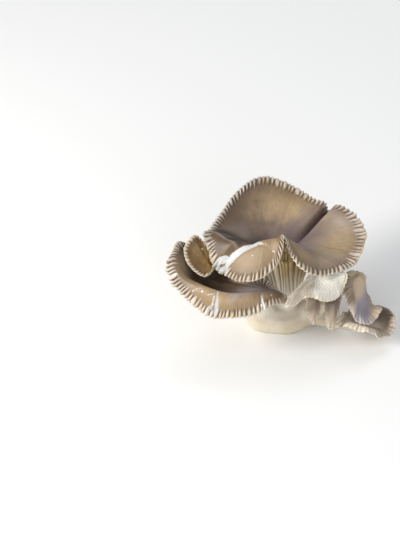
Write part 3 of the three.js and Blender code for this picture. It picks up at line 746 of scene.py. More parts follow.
def crimped(mushroom, columns, shares, sheet):
    """The sheet's places with the crimps on them, how high each point stands on its ridge (0 to 1),
    and how frilled each column is. A ridge is |sin|^0.6 of the pleat number; its height rises
    smoothly over the crimped band, and three rolls of the dice make each pleat a little uneven: in
    its height, in its frill and in its reach. Lobes that ruffle have soft crimps."""
    places, normals, _, length = sheet
    pleats = mushroom["pleats"]
    turn = pleat_turns(mushroom, columns)
    dice = np.random.default_rng(pleats)
    uneven = [np.interp(turn, np.arange(pleats + 1) + 0.5, np.append(row, row[0]), period=pleats)
              for row in dice.random((3, pleats))]
    from_margin = length * (1 - far_out(shares, length))
    rise = 1 - ramp(from_margin, CRIMP_FULL, CRIMP_LENGTH * mushroom["crimp"])
    band = (shares[:, None] - 1).clip(0)
    frill = near(places[-1], mushroom["frills"], FRILL_SPREAD)
    ridge = np.abs(np.sin(np.pi * turn)) ** CRIMP_ROUNDNESS
    height = min(CRIMP_HEIGHT, CRIMP_SLENDERNESS * mushroom["girth"] / pleats)
    height *= SOFT_CRIMPS if mushroom["ruffle"] else mushroom["crimp"]
    lift = height * rise * (2 * ridge - 1) * (CRIMP_LEAST + CRIMP_SPREAD * uneven[0])
    ruffle = mushroom["ruffle"] * ruffle_wave(mushroom["girth"], columns)
    lift += ruffle * ramp(shares[:, None], RUFFLE_START, 2)
    lift -= TIP_CURL * band ** 3 * (1 - frill)
    lift += FRILL_HEIGHT * frill * band ** 2 * np.sin(2 * np.pi * (turn * FRILL_WAVE + uneven[1]))
    outward = unit(np.gradient(places, axis=0))
    ragged = SCALLOP_SPREAD * uneven[2] * (1 + frill)
    reach = SCALLOP * rise * (ridge - 1 + ragged - SCALLOP_SPREAD)
    return places + normals * lift[..., None] + outward * reach[..., None], ridge * rise, frill


for name, mushroom in MUSHROOMS.items():
    mushroom["ruffle"] = RUFFLES.get(name, 0)
    mushroom["crimp"] = SMALL_CRIMPS.get(name, 1)
print("crimps stand up to", CRIMP_HEIGHT, "mm, and ruffles up to", max(RUFFLES.values()), "mm")

# %% [markdown]
# A cap is a thin closed body: the skin from the pole to the margin, a rounded rim, and the flesh side
# back to the pole. The flesh side is hidden by the gills nearly everywhere, so it has fewer rings:
# every fourth of the plain cap, and every second of the crimped band.

# %% The two sides of a cap
RIM_THICKNESS = 1.2
THINNING = 0.8
FIRST_ROW = 0.04
EXTRA_ROWS = 6
CRIMP_ROWS = 12
PLAIN_STEP, CRIMP_STEP = 4, 2
RIM_TURNS = (45, 90, 135)


def thickness_at(mushroom, far):
    """How thick a cap is at a share of its ribs' length: thickest at the pole, thin at the margin."""
    inward = (1 - np.clip(far, 0, 1)) ** THINNING
    return RIM_THICKNESS + (mushroom["thickness"] - RIM_THICKNESS) * inward


def row_shares(mushroom, spacing, outermost=2):
    """Rows from the pole to the margin: about one a spacing on the plain cap, finer on the crimps."""
    reach = np.linalg.norm(mushroom["ribs"][:, 2] - mushroom["pole"], axis=1).max()
    plain = np.linspace(FIRST_ROW, 1, int(reach / spacing) + EXTRA_ROWS)
    return np.concatenate([plain, np.linspace(1, outermost, CRIMP_ROWS)[1:]])


def flesh_rows(count):
    """The rows of the skin that the flesh side has too, from the margin inward."""
    plain = count - CRIMP_ROWS
    return np.concatenate([np.arange(0, plain, PLAIN_STEP), np.arange(plain, count, CRIMP_STEP)])[::-1]


def rounded_rim(skin, flesh):
    """Three rings in a half circle from the skin's edge to the flesh's: middle + half * cos +
    outward * sin, where outward goes on from the skin's last rows."""
    middle, half = (skin[-1] + flesh[-1]) / 2, (skin[-1] - flesh[-1]) / 2
    outward = unit(skin[-1] - skin[-3]) * np.linalg.norm(half, axis=1, keepdims=True)
    turns = np.radians(RIM_TURNS)[:, None, None]
    return middle + half * np.cos(turns) + outward * np.sin(turns)


print("rows of the left cap, 2 mm apart:", row_shares(MUSHROOMS["left"], 2).round(2).tolist())

# %% [markdown]
# The points of a cap carry what the skin's colour follows: how far out they lie, how high on a
# ridge, how frilled, and how far from a tear and from a fold. A vector carries the fibres. Its noise
# has to change fast across the ribs and slowly along them, and to close round the cap, so it
# goes round a circle while it climbs.

# %% Build a cap
COLUMNS_PER_PLEAT = 8
SKIN_ROW = 1.7
FIBRE_LENGTH = 26
TEAR_DEPTH = 0.6
TEAR_SIDES = (-0.9, 0.7)
FAR_FROM_ANY = 30.0
RIM_V, FLESH_V = -0.6, -1


def nearest_path(points, paths):
    """The distance from each point to the nearest of some paths of (x, y, z, half width), less that
    half width: the point's share t of a straight piece is its projection, kept from 0 to 1."""
    nearest = np.full(points.shape[:-1], FAR_FROM_ANY)
    for path in paths:
        for start, stop in zip(np.array(path[:-1], float), np.array(path[1:], float)):
            step = stop - start
            t = ((points - start[:3]) @ step[:3]) / (step[:3] @ step[:3])
            t = np.clip(t, 0, 1)[..., None]
            gap = np.linalg.norm(points - start[:3] - t * step[:3], axis=-1)
            nearest = np.minimum(nearest, gap - start[3] - t[..., 0] * step[3])
    return nearest


def fibre_vector(mushroom, columns, far, length):
    """A circle with one pleat to the unit across the ribs, and a slow third axis along them."""
    radius = mushroom["pleats"] / (2 * np.pi)
    angle = np.broadcast_to(2 * np.pi * columns, far.shape)
    climb = far * length / FIBRE_LENGTH
    return np.stack([radius * np.cos(angle), radius * np.sin(angle), climb], axis=-1)


def build_cap(name, material):
    """One cap in the place of its solid. Tears sink into its skin, most of all in the dips. Its map
    counts the pleats in u, and v is the distance from the margin in mm, or less than 0 past it."""
    mushroom = MUSHROOMS[name]
    count = mushroom["pleats"] * COLUMNS_PER_PLEAT
    columns = np.arange(count) / count
    shares = row_shares(mushroom, SKIN_ROW)
    sheet = cap_sheet(mushroom, columns, shares)
    places, normals, ease, length = sheet
    skin, ridge, frill = crimped(mushroom, columns, shares, sheet)
    far = far_out(shares, length)
    tear = nearest_path(skin, mushroom["tears"])
    fold = nearest_path(skin, mushroom["folds"])
    flesh = skin - normals * (thickness_at(mushroom, far) * ease ** 2)[..., None]
    skin = skin - normals * (TEAR_DEPTH * (1 - ramp(tear, *TEAR_SIDES)) * (1 - ridge))[..., None]
    kept = flesh_rows(len(shares))
    rings = np.concatenate([skin, rounded_rim(skin, flesh), flesh[kept]])
    ends = (places[0].mean(axis=0), flesh[0].mean(axis=0))
    from_margin = (1 - far) * length
    rim_v = np.full((len(RIM_TURNS), count), RIM_V)
    v = np.concatenate([from_margin, rim_v, FLESH_V - from_margin[kept]])

    def carried(grid):
        """A value of the skin's rows, repeated on the rim's rows and on those of the flesh side."""
        return np.concatenate([grid, np.repeat(grid[-1:], len(RIM_TURNS), axis=0), grid[kept]])

    values = {
        "share": carried(far),
        "ridge": carried(ridge),
        "frill": carried(np.broadcast_to(frill, far.shape)),
        "tear": carried(tear),
        "fold": carried(fold),
        "fibre": carried(fibre_vector(mushroom, columns, far, length)),
    }
    uv = (pleat_turns(mushroom, columns), v)
    piece = closed_mesh(f"skin_{name}", rings, ends, uv, values, material)
    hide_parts(f"cap_{name}")
    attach(piece, "root")
    print(piece.name, "triangles:", 2 * rings.shape[0] * rings.shape[1])


print("columns for each crimp:", COLUMNS_PER_PLEAT)

# %% [markdown]
# The gills are thin blades that run from the margin to the stem. Only every fourth one goes all the
# way: the ones between start at the margin and give out earlier, which keeps the spacing even as the
# cap narrows. Each gill takes four columns, the two edges of its crest and its two feet, so a blade
# of half a millimetre stays sharp without a fine mesh between the blades.

# %% The blades of a gill layer
GILL_COLUMNS = (0, 0.24, 0.36, 0.88)
GILL_CREST = (1.0, 1.0, 0.0, 0.0)
GILL_ROOF_GAP = 0.1
GILL_LAYER = 0.6
GILL_DEPTH = 1.8
GILL_FADE = (0.55, 1.02)
GILL_LEAST = 0.35
GILL_START = 0.16
SHORTER_GILLS = (0, 0.72, 0.42, 0.72)
GILL_SCATTER = 0.07


def gill_ends(count):
    """The row share at which each gill gives out on its way in, once for each of its columns."""
    scatter = np.random.default_rng(count).uniform(-GILL_SCATTER, GILL_SCATTER, count)
    return np.repeat(np.tile(SHORTER_GILLS, count // len(SHORTER_GILLS)) + scatter, len(GILL_COLUMNS))


def blade_height(mushroom, shares, far):
    """How far each point stands out from the layer: full depth near the stem, fading toward the
    margin, on the crest's columns only and only outside the gill's end."""
    depth = GILL_DEPTH * mushroom["gill_share"] * (1 - ramp(far, *GILL_FADE)) + GILL_LEAST * (far < 1)
    crest = np.tile(GILL_CREST, mushroom["gills"])
    return depth * crest * ramp(shares[:, None] - gill_ends(mushroom["gills"]), 0, GILL_START)


print("gills for each mushroom:", [each["gills"] for each in MUSHROOMS.values()])

# %% [markdown]
# On four of the caps the gills run on down the stem and fade out there, so their layer ends in a neck
# instead of a pole. The neck's ring stands square to the stem. The columns come in from all round the
# cap unevenly, and on the ring they are drawn halfway toward even spacing, which keeps them from
# crossing. On the way down the many thin blades melt into a few rounded cords.

# %% The neck of a gill layer
NECK_ROWS = 40
NECK_SPEED = 0.6
SLOWEST = 0.25
ANY_OTHER_WAY = (0.1, 1, 0.2)
CORD_DEPTH = 1.7
CORD_THINNING = 0.3
CORD_SWAY = 0.16
BLADES_PER_CORD = 8
BLADES_MELT = (-0.02, 0.2)
CORDS_END = (0.9, 1)
CREST_FROM = 0.3


def turned_to(under, down, vectors):
    """Rodrigues' turn that takes under to down: v + axis x v + axis x (axis x v) / (1 + cos)."""
    axis = np.cross(under, down)
    once = np.cross(axis, vectors)
    return vectors + once + np.cross(axis, once) / (1 + under @ down)


def neck_ring(innermost, pole, under, down, neck):
    """A point on the neck's ring for each column, at its evened angle round the pole: a circle of
    cos * side + sin * other, turned with the stem."""
    side = unit(np.cross(under, ANY_OTHER_WAY))
    other = np.cross(under, side)
    arm = innermost - pole
    angles = np.unwrap(np.arctan2(arm @ other, arm @ side))
    even = np.sign(angles[-1] - angles[0]) * 2 * np.pi * np.arange(len(angles)) / len(angles)
    angles = (angles + even + (angles - even).mean()) / 2
    circle = np.outer(np.cos(angles), side) + np.outer(np.sin(angles), other)
    return neck["centre"] + neck["radius"] * turned_to(under, down, circle)


def cord_height(columns):
    """Rounded cords, as the size of a cosine of each column's turn. They differ in width."""
    cords = round(columns / (len(GILL_COLUMNS) * BLADES_PER_CORD))
    turn = np.arange(columns) * cords / columns
    return np.abs(np.cos(np.pi * drifted(turn, int(turn[-1]) + 1, CORD_SWAY, columns)))


def neck_rows(innermost, inward, pole, under, neck, blades):
    """Rows from the innermost gill row to the neck's ring. Each column is one cubic that leaves
    inward and arrives along the stem. Over the first fifth the blades melt into the cords, which
    stand out along the rows' own normals. Gives the rows, and how much of a crest each point is."""
    down, centre = unit(np.array(neck["down"], float)), np.array(neck["centre"], float)
    ends = neck_ring(innermost, pole, under, down, neck)
    reach = np.linalg.norm(ends - innermost, axis=1, keepdims=True)
    speed = np.maximum(((ends - innermost) * inward).sum(axis=1, keepdims=True), SLOWEST * reach)
    t = np.linspace(0, 1, NECK_ROWS + 1)[1:, None]
    rows = hermite(innermost, ends, inward * speed, down * reach * NECK_SPEED, t[..., None])
    around = np.roll(rows, -1, axis=1) - np.roll(rows, 1, axis=1)
    normals = unit(np.cross(np.gradient(rows, axis=0), around))
    normals *= np.sign((normals * (rows - centre)).sum(axis=(1, 2), keepdims=True))
    cord, melt = cord_height(len(innermost)), ramp(t, *BLADES_MELT)
    depth = CORD_DEPTH * (1 - CORD_THINNING * t) * (1 - ramp(t, *CORDS_END))
    standing = blades * (1 - melt) + depth * cord * melt
    return rows + normals * standing[..., None], cord * melt + (blades > CREST_FROM) * (1 - melt)


necks = [name for name, mushroom in MUSHROOMS.items() if mushroom["neck"]]
print("mushrooms with gills down the stem:", ", ".join(necks))

# %% [markdown]
# The whole layer is again one closed body. Its roof lies close under the cap's flesh, out of sight,
# so it has few rows. Its face comes back in from the margin with the blades on it. It ends in a pole,
# or passes the neck's rows and ends inside the stem.

# %% Build the gills
GILL_ROW = 2.2
GILLS_OUTERMOST = 1.6
ROOF_STEP = 5
FIBRES_DOWN_STEM = 0.5


def build_gills(name, material):
    """One gill layer in the place of its solid. Its map counts the gills in u, and its points carry
    how far out they lie, how much of a crest they are, and how far down the stem."""
    mushroom = MUSHROOMS[name]
    count, neck = mushroom["gills"], mushroom["neck"]
    columns = (np.arange(count)[:, None] + GILL_COLUMNS).ravel() / count
    shares = row_shares(mushroom, GILL_ROW, GILLS_OUTERMOST)
    sheet = cap_sheet(mushroom, columns, shares)
    places, normals, ease, length = sheet
    level, _, _ = crimped(mushroom, columns, shares, sheet)
    far = far_out(shares, length)
    over = thickness_at(mushroom, far) * ease ** 2 + GILL_ROOF_GAP
    blade = blade_height(mushroom, shares, far)
    roof = level - normals * over[..., None]
    face = level - normals * (over + (GILL_LAYER + blade) * ease ** 2)[..., None]

    # Without a neck all the face's rows count, and none follow them down the stem.
    first, foot, down_rows, cords = 0, face[0].mean(axis=0), face[:0], blade[:0]
    if neck:
        first = int(np.searchsorted(shares, neck["share"]))
        under = -unit(normals[0].mean(axis=0))
        inward = -unit(places[first + 1] - places[first])
        standing = (blade * ease ** 2)[first]
        innermost = face[first] + normals[first] * standing[:, None]
        pole = places[0].mean(axis=0)
        down_rows, cords = neck_rows(innermost, inward, pole, under, neck, standing)
        foot = np.array(neck["centre"], float)

    roof_rows = roof[np.unique(np.append(np.arange(0, len(roof), ROOF_STEP), len(roof) - 1))]
    rings = np.concatenate([roof_rows, face[first:][::-1], down_rows])
    tail = len(down_rows)
    above = len(rings) - tail
    along = np.concatenate([np.ones((len(roof_rows), len(columns))), far[first:][::-1],
                            np.repeat(far[first:first + 1], tail, axis=0)])
    down_stem = np.concatenate([np.zeros(above), np.linspace(0, 1, tail + 1)[1:]])[:, None]
    crests = np.broadcast_to(np.tile(GILL_CREST, count), (above, len(columns)))
    values = {
        "share": along,
        "crest": np.concatenate([crests, cords]),
        "down": np.broadcast_to(down_stem, along.shape),
        "fibre": fibre_vector(mushroom, columns, along - FIBRES_DOWN_STEM * down_stem, length),
    }
    ends = (roof[0].mean(axis=0), foot)
    piece = closed_mesh(f"blades_{name}", rings, ends, (columns * count, along), values, material)
    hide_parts(f"gills_{name}")
    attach(piece, "root")
    print(piece.name, "triangles:", 2 * rings.shape[0] * rings.shape[1])


print("rows in a gill layer's neck:", NECK_ROWS)

# %% [markdown]
# The skin's colour comes from growth. The throat, which kept moist and shaded, is a cool grey, and
# the open part is tan. Over that lie casts, each a tone, its strength, and the ramps along plain
# directions that bound it. Most are painted shade in the funnel, the trough, the hollows and by the
# crease, or painted highlights on lips; a few are the skin's own tints, as on the flap and the fan.

# %% Casts on the skins: painted shade, painted highlights and tints
EAST, NORTH, UP = (1, 0, 0), (0, 1, 0), (0, 0, 1)
ACROSS_STRIP = (0.731, 0.682, 0)
ACROSS_LIP = (-0.4, 0.916, 0)
ACROSS_CREASE = (-0.764, 0.645, 0)
PAINTED_SHADE_AND_TINTS = {
    "crown": [
        # Painted shade on the left of the funnel, and a deep painted shadow just inside the strip's
        # lip.
        (rgb(80, 62, 54), 0.85, [(EAST, 2, -40), (ACROSS_STRIP, -30, -28.5), (NORTH, -9, -6)]),
        (rgb(24, 17, 16), 0.85, [(ACROSS_STRIP, -12, -25), (ACROSS_STRIP, -30, -28.5),
                                 (NORTH, -8.5, -7), (EAST, -20, -34)]),
        # The strip, browner, with painted shade that deepens toward its lip, and a painted highlight on
        # the lip.
        (rgb(66, 50, 36), 0.88, [(ACROSS_STRIP, -27.5, -29), (ACROSS_STRIP, -46, -37),
                                 (NORTH, -13, -6)]),
        (rgb(176, 160, 148), 0.35, [(ACROSS_STRIP, -31.5, -30), (ACROSS_STRIP, -28, -29.5),
                                    (NORTH, -8, -4)]),
        # The flap is yellower.
        (rgb(124, 98, 60), 0.62, [(NORTH, 2, -12), (EAST, 20, 0)]),
        # The right lobe, pearly at the back and dusky in front.
        (rgb(206, 192, 180), 0.4, [(EAST, 22, 44), (NORTH, 12, 34)]),
        (rgb(112, 98, 92), 0.45, [(EAST, 16, 28), (NORTH, 16, -8), (UP, 50, 60)]),
        # Painted lilac shade on both sides of the crease: far up the back lobe, and low on the right
        # one.
        (rgb(106, 94, 98), 0.5, [(ACROSS_CREASE, 26, 8), (ACROSS_CREASE, -4, 2), (EAST, -6, 10)]),
        (rgb(98, 90, 96), 0.5, [(ACROSS_CREASE, -24, -6), (ACROSS_CREASE, 4, -1), (NORTH, 40, 18),
                                (EAST, 6, 16)]),
    ],
    "front": [
        # Painted shadow in the deep left end of the trough, its wall darker, and a pale lilac painted
        # highlight along the lip toward the right tip.
        (rgb(14, 9, 6), 0.9, [(EAST, -40, -50), (NORTH, -28, -14), (UP, 58, 50)]),
        (rgb(82, 64, 46), 0.6, [(NORTH, -39, -28), (EAST, 0, -30)]),
        (rgb(164, 156, 160), 0.52, [(ACROSS_LIP, -26, -22.5), (ACROSS_LIP, 4, -8), (EAST, -46, -34)]),
    ],
    "tongues": [(rgb(90, 76, 60), 0.55, [(EAST, 31, 36), (UP, 28, 36)])],
    "right": [
        # Painted shade in the hollow on the inner side, and the lilac fan below.
        (rgb(104, 86, 64), 0.6, [(EAST, 57, 52), (UP, 34, 42)]),
        (rgb(130, 130, 150), 0.75, [(UP, 41, 33), (EAST, 55, 58), (EAST, 73, 67)]),
    ],
    "ear": [
        # Painted shade over the curled outer end, and a deeper painted shadow in the hollow behind it.
        (rgb(112, 95, 82), 0.7, [(EAST, 67, 84)]),
        (rgb(60, 50, 46), 0.66, [(EAST, 67, 76), (EAST, 92, 84), (NORTH, -26, -14)]),
    ],
}


def with_shade_and_tints(colour, place, cloud, casts):
    """Blends each cast's tone in where all its ramps are up. A ramp runs along a direction of the
    part, from 0 at its first distance in mm to 1 at its second, and the cloud makes it uneven."""
    for tone, mask, ramps in casts:
        for direction, first, last in ramps:
            product = {"operation": "DOT_PRODUCT"}
            along = place.node("ShaderNodeVectorMath", product, {0: place, 1: direction}, "Value")
            uneven = (cloud - 0.5) * (abs(last - first) * MM)
            mask = (along + uneven).step(first * MM, last * MM) * mask
        colour = mask.blend(colour, tone)
    return colour


print("casts:", {name: len(casts) for name, casts in PAINTED_SHADE_AND_TINTS.items()})

# %% [markdown]
# Over the casts come the marks of the margin and the folds. A fold gets painted shade on both sides
# of its bottom. The crimped band has a dusky belt behind it, a painted highlight on its crests and
# painted shade in its dips. On every ridge a pale drop tapers inward: partly the pale flesh that shows
# through, partly a painted highlight on the crest. The map `u` counts the pleats, so its fraction
# places a drop on every ridge, and its whole part rolls the dice for that drop. `v` is the distance
# from the margin in millimetres.

# %% Marks on the skin
DROP_WHITE = rgb(226, 218, 208)
CREST_HIGHLIGHT = rgb(190, 172, 150)
FOLD_SHADOW_LILAC = rgb(80, 74, 106)
FOLD_REACH, FOLD_BOTTOM = 24, 9


def grown_tones(share, broad, cloud, throat, open_tone, dark, opens):
    """The throat's tone, the open one from about the share `opens` outward, and dark clouds."""
    open_part = (share + (cloud - 0.5) * 0.5 + (broad - 0.5) * 0.35).step(opens - 0.25, opens + 0.25)
    cloudy = (cloud * 0.6 + broad * 0.4).step(0.36, 0.62)
    return ((1 - cloudy) * 0.3).blend(open_part.blend(throat, open_tone), dark)


def painted_fold_shade(colour, fold, throat):
    """Painted shade near a fold, in the throat's tone, and a lilac painted shadow at its bottom."""
    colour = ((1 - fold.step(0, FOLD_REACH)) * 0.45).blend(colour, throat)
    return ((1 - fold.step(0, FOLD_BOTTOM)) * 0.6).blend(colour, FOLD_SHADOW_LILAC)


def crimp_tones_and_painted_light(colour, ridge, v, dark, crimps):
    """A dusky belt 3 to 16 mm from the margin, and inside the band a painted highlight on the crests
    and painted shade in the dips.
    """
    belt = v.step(3, 8) * (1 - v.step(8, 16))
    colour = (belt * 0.35).blend(colour, dark)
    crest = ridge.step(0.5, 0.95) * (1 - v.step(4, 8))
    colour = (crest * (0.4 * crimps)).blend(colour, CREST_HIGHLIGHT)
    painted_dip_shade = (1 - ridge.step(0.2, 0.8)) * (1 - v.step(5, 8.5))
    return (painted_dip_shade * (0.85 * crimps)).blend(colour, dark)


def dice_roll(number):
    """A random value from 0 to 1 for each number."""
    return number.node("ShaderNodeTexWhiteNoise", {"noise_dimensions": "1D"}, {"W": number}, "Value")


def drops_on_ridges(u, v, frill, ripple, seed, length):
    """Where the drops are, and how pale each one is. A drop is as wide as a bulge, sin(pi i^0.65)^0.7
    of the share i of its length, and both its length and its width are rolled for each pleat."""
    pleat = u.math("FLOOR") + seed
    roll, other = dice_roll(pleat), dice_roll(pleat + 0.5)
    from_middle = (u.math("FRACT") - 0.5 + (ripple - 0.5) * 0.12).math("ABSOLUTE")
    inward = (v / ((1 + roll * 0.55 + frill * 0.36) * length)).math("MAXIMUM", 0).math("MINIMUM", 1)
    bulge = ((inward ** 0.65) * math.pi).math("SINE").math("MAXIMUM", 0)
    width = (bulge ** 0.7) * (0.2 + other * 0.12 + frill * 0.08)
    return (width - from_middle).step(-0.02, 0.14), 0.4 + other * 0.4


print("a fold's shade reaches", FOLD_REACH, "mm")

# %% [markdown]
# The last layer is damage and age. Torn flesh is white and rough, with a ragged edge, and grey clouds
# in it are painted shade for its sunken band. The rim dries to cream, the side under it stays pale,
# and a few white specks lie on the skin. Fibres streak everything from the throat to the margin. A
# cap is moist, so a thin coat lies over its satin skin.

# %% Skin material
TORN_SHADE_GREY = rgb(188, 188, 184)
FLESH_CREAM = rgb(222, 210, 186)
EDGE_CREAM = rgb(210, 202, 186)
SPECKS_PER_METRE = 130
SPECK_RADIUS = (0.07, 0.14)
SPECK_CHANCE = 0.12
SKIN_COAT = 0.12
SKIN_COAT_ROUGHNESS = 0.35


def specks(place):
    """Small round spots in some of the cells of a Voronoi pattern, where the cell's own random
    colour says so."""
    cells = {"Vector": place, "Scale": SPECKS_PER_METRE, "Randomness": 1}
    distance = place.node("ShaderNodeTexVoronoi", {}, cells, "Distance")
    chance = place.node("ShaderNodeTexVoronoi", {}, cells, "Color").part(0)
    chosen = chance.step(0.99 - SPECK_CHANCE, 1.01 - SPECK_CHANCE)
    return (1 - distance.step(*SPECK_RADIUS)) * chosen


def skin_material(name, throat, open_tone, dark, seed, crimps, opens=0.5, drops=5.5):
    """Skin with three tones: the throat's, the open cap's, and that of the fibres and dips. The last
    values say how strongly the margin's ridges and drops are drawn, where along the ribs the throat's
    tone gives way to the open one, and how long the drops are in millimetres."""
    material, shader, start = new_material(f"skin_{name}")
    uv = start.node("ShaderNodeUVMap", {"uv_map": "UVMap"}, {})
    u, v = uv.part(0), uv.part(1)
    share, ridge, frill, tear, fold = (
        attribute(start, key) for key in ("share", "ridge", "frill", "tear", "fold"))
    fibre = attribute(start, "fibre", "Vector")
    place = object_place(start)
    broad, fine, hair = noise(fibre, 0.55, 2), noise(fibre, 4.5, 5, 0.65), noise(fibre, 13, 2)
    cloud, ripple = noise(place, 38), noise(place, 700, 2)

    colour = grown_tones(share, broad, cloud, throat, open_tone, dark, opens)
    # Casts: painted shade, painted highlights and the skin's own tints.
    colour = with_shade_and_tints(colour, place, cloud, PAINTED_SHADE_AND_TINTS.get(name, []))
    # Painted shade along the folds.
    colour = painted_fold_shade(colour, fold, throat)
    streak = (fine + (broad - 0.5) * 0.8).step(0.42, 0.75)
    colour = (streak * 0.4).blend(colour, dark)
    # A dusky belt, with a painted highlight on the crests and painted shade in the dips.
    colour = crimp_tones_and_painted_light(colour, ridge, v, dark, crimps)
    drop, paleness = drops_on_ridges(u, v, frill, ripple, seed, drops)
    # The drops: partly pale flesh, partly a painted highlight on each crest.
    colour = (drop * paleness * crimps).blend(colour, DROP_WHITE)
    edge = (1 - v.step(0.1, 1.3)) * (0.35 + ripple * 0.6)
    colour = (edge * 0.8).blend(colour, EDGE_CREAM)
    torn = 1 - (tear + (ripple - 0.5) * 1.6 + (cloud - 0.5) * 2).step(-0.5, 0.35)
    # The grey in the torn flesh is painted shade for its sunken band.
    torn_tone = (cloud + fine * 0.4).step(0.4, 0.9).blend(FLESH_WHITE, TORN_SHADE_GREY)
    colour = torn.blend(colour, torn_tone)
    under = 1 - v.step(-0.9, -0.4)
    colour = under.blend(colour, FLESH_CREAM)
    speck = specks(place)
    colour = (speck * 0.8).blend(colour, FLESH_WHITE)

    plug(shader, "Base Color", colour)
    plug(shader, "Roughness", 0.42 + cloud * 0.16 + torn * 0.3 - drop * 0.08)
    raise_relief(shader, fine * 0.5 + hair * 0.3 + speck * 1.5 + torn * ripple * 2, 0.35, 0.5 * MM)
    let_light_in(shader, 0.07, (1, 0.55, 0.3), 2 * MM)
    shader.inputs["Coat Weight"].default_value = SKIN_COAT
    shader.inputs["Coat Roughness"].default_value = SKIN_COAT_ROUGHNESS
    return material


UMBER = rgb(92, 68, 46)
LILAC = rgb(118, 102, 98)
TAN = rgb(178, 153, 116)
DUSKY_TAN = rgb(178, 152, 114)
SKIN_TONES = {
    "crown": (LILAC, TAN, UMBER),
    # The front's throat tone is dark partly as painted shade deep in its trough.
    "front": (rgb(108, 90, 74), DUSKY_TAN, UMBER),
    "left": (rgb(136, 106, 56), rgb(164, 132, 78), rgb(80, 56, 30)),
    "turned": (rgb(170, 150, 122), rgb(190, 172, 142), rgb(120, 96, 66)),
    "tongues": (rgb(138, 124, 112), rgb(180, 164, 142), rgb(108, 86, 62)),
    "right": (rgb(212, 190, 158), rgb(196, 176, 148), rgb(124, 106, 92)),
    # The ear's tones are pale partly as painted light on its left part, in the right cap's shadow.
    "ear": (rgb(200, 184, 166), rgb(236, 220, 198), rgb(116, 96, 74)),
}
SKIN_MARKS = {
    "crown": dict(seed=3, crimps=0.68),
    "front": dict(seed=17, crimps=0.8, opens=0.6),
    "left": dict(seed=29, crimps=0.7, drops=2.6),
    "turned": dict(seed=41, crimps=0.4),
    "tongues": dict(seed=53, crimps=0.2),
    "right": dict(seed=67, crimps=0.15),
    "ear": dict(seed=71, crimps=0.2),
}
skins = {name: skin_material(name, *tones, **SKIN_MARKS[name]) for name, tones in SKIN_TONES.items()}
print("skins:", ", ".join(skins))

# %% [markdown]
# Gill flesh is cream and soft, and light sinks into it. The gaps between the blades get a darker,
# yellowish tone as painted shade, and the crests are the palest. Toward the stem it turns white. The
# turned lobe is younger, and its gills are nearly white all over but for the tan end beside the crown.

# %% Gill material
def gill_material(name, crest_tone, shaded_gap_tone, casts=()):
    """Gills with two tones, that of the crests and a darker one painted into the gaps as shade, which
    also comes in clouds, and casts as on the skin.
    """
    material, shader, start = new_material(name)
    crest, down = attribute(start, "crest"), attribute(start, "down")
    fibre, place = attribute(start, "fibre", "Vector"), object_place(start)
    cloud, fine, grain = noise(place, 45), noise(fibre, 3.5, 4, 0.6), noise(place, 900, 2)
    colour = (crest + (fine - 0.5) * 0.5).step(0, 0.9).blend(shaded_gap_tone, crest_tone)
    colour = ((cloud - 0.4) * 0.7).step(0, 0.3).blend(colour, shaded_gap_tone)
    colour = with_shade_and_tints(colour, place, cloud, casts)
    colour = (down.step(0.3, 1) * 0.7).blend(colour, FLESH_WHITE)
    plug(shader, "Base Color", colour)
    plug(shader, "Roughness", 0.55 + fine * 0.2)
    raise_relief(shader, fine + grain * 0.5, 0.3, 0.4 * MM)
    let_light_in(shader, 0.25, (1, 0.7, 0.4), 3 * MM)
    return material


# The crests' tone, and the painted shade between them.
gill_finish = gill_material("gill_flesh", rgb(212, 190, 138), rgb(134, 102, 52))
tan_end = (rgb(186, 162, 132), 0.5, [(EAST, 28, 17)])
pale_gill_finish = gill_material("pale_gill_flesh", rgb(252, 250, 246), rgb(208, 200, 180), [tan_end])
print("gill materials:", gill_finish.name, pale_gill_finish.name)

# %% [markdown]
# Now every mushroom gets its skin and its gills. Each has tones of its own, for caps that share a
# butt still age and dry at different speeds; only the two little tongues share a skin.

# %% All caps and gills
for name in MUSHROOMS:
    build_cap(name, skins["tongues" if name.startswith("tongue") else name])
    build_gills(name, pale_gill_finish if name == "turned" else gill_finish)

# %% [markdown]
# The stems grow out of one butt without a seam, so tubes pushed into a lump would look wrong. They
# are only the first step here. Each stem is swept along its route as a tube, and the butt is a lumpy
# turned form that spreads toward the cut.

# %% Tubes and the butt
TUBE_SIDES = 40
TUBE_STEPS = 60
STEM_TUCK = 1.5
BUTT_SIDES = 96
BUTT_HEIGHT = 18
BUTT_HALF_WIDTH = 27
BUTT_HALF_DEPTH = 23
BUTT_PROFILE = [(0.9, 0), (0.98, 0.15), (1, 0.4), (0.88, 0.75), (0.6, 1)]


def ring_faces(rows, columns):
    """Quads between closed rings of points, and a flat face at each end."""
    number = np.arange(rows * columns).reshape(rows, columns)
    beside = np.roll(number, -1, axis=1)
    quads = np.stack([number[:-1], beside[:-1], beside[1:], number[1:]], axis=-1).reshape(-1, 4)
    return [*quads.tolist(), number[0, ::-1].tolist(), number[-1].tolist()]


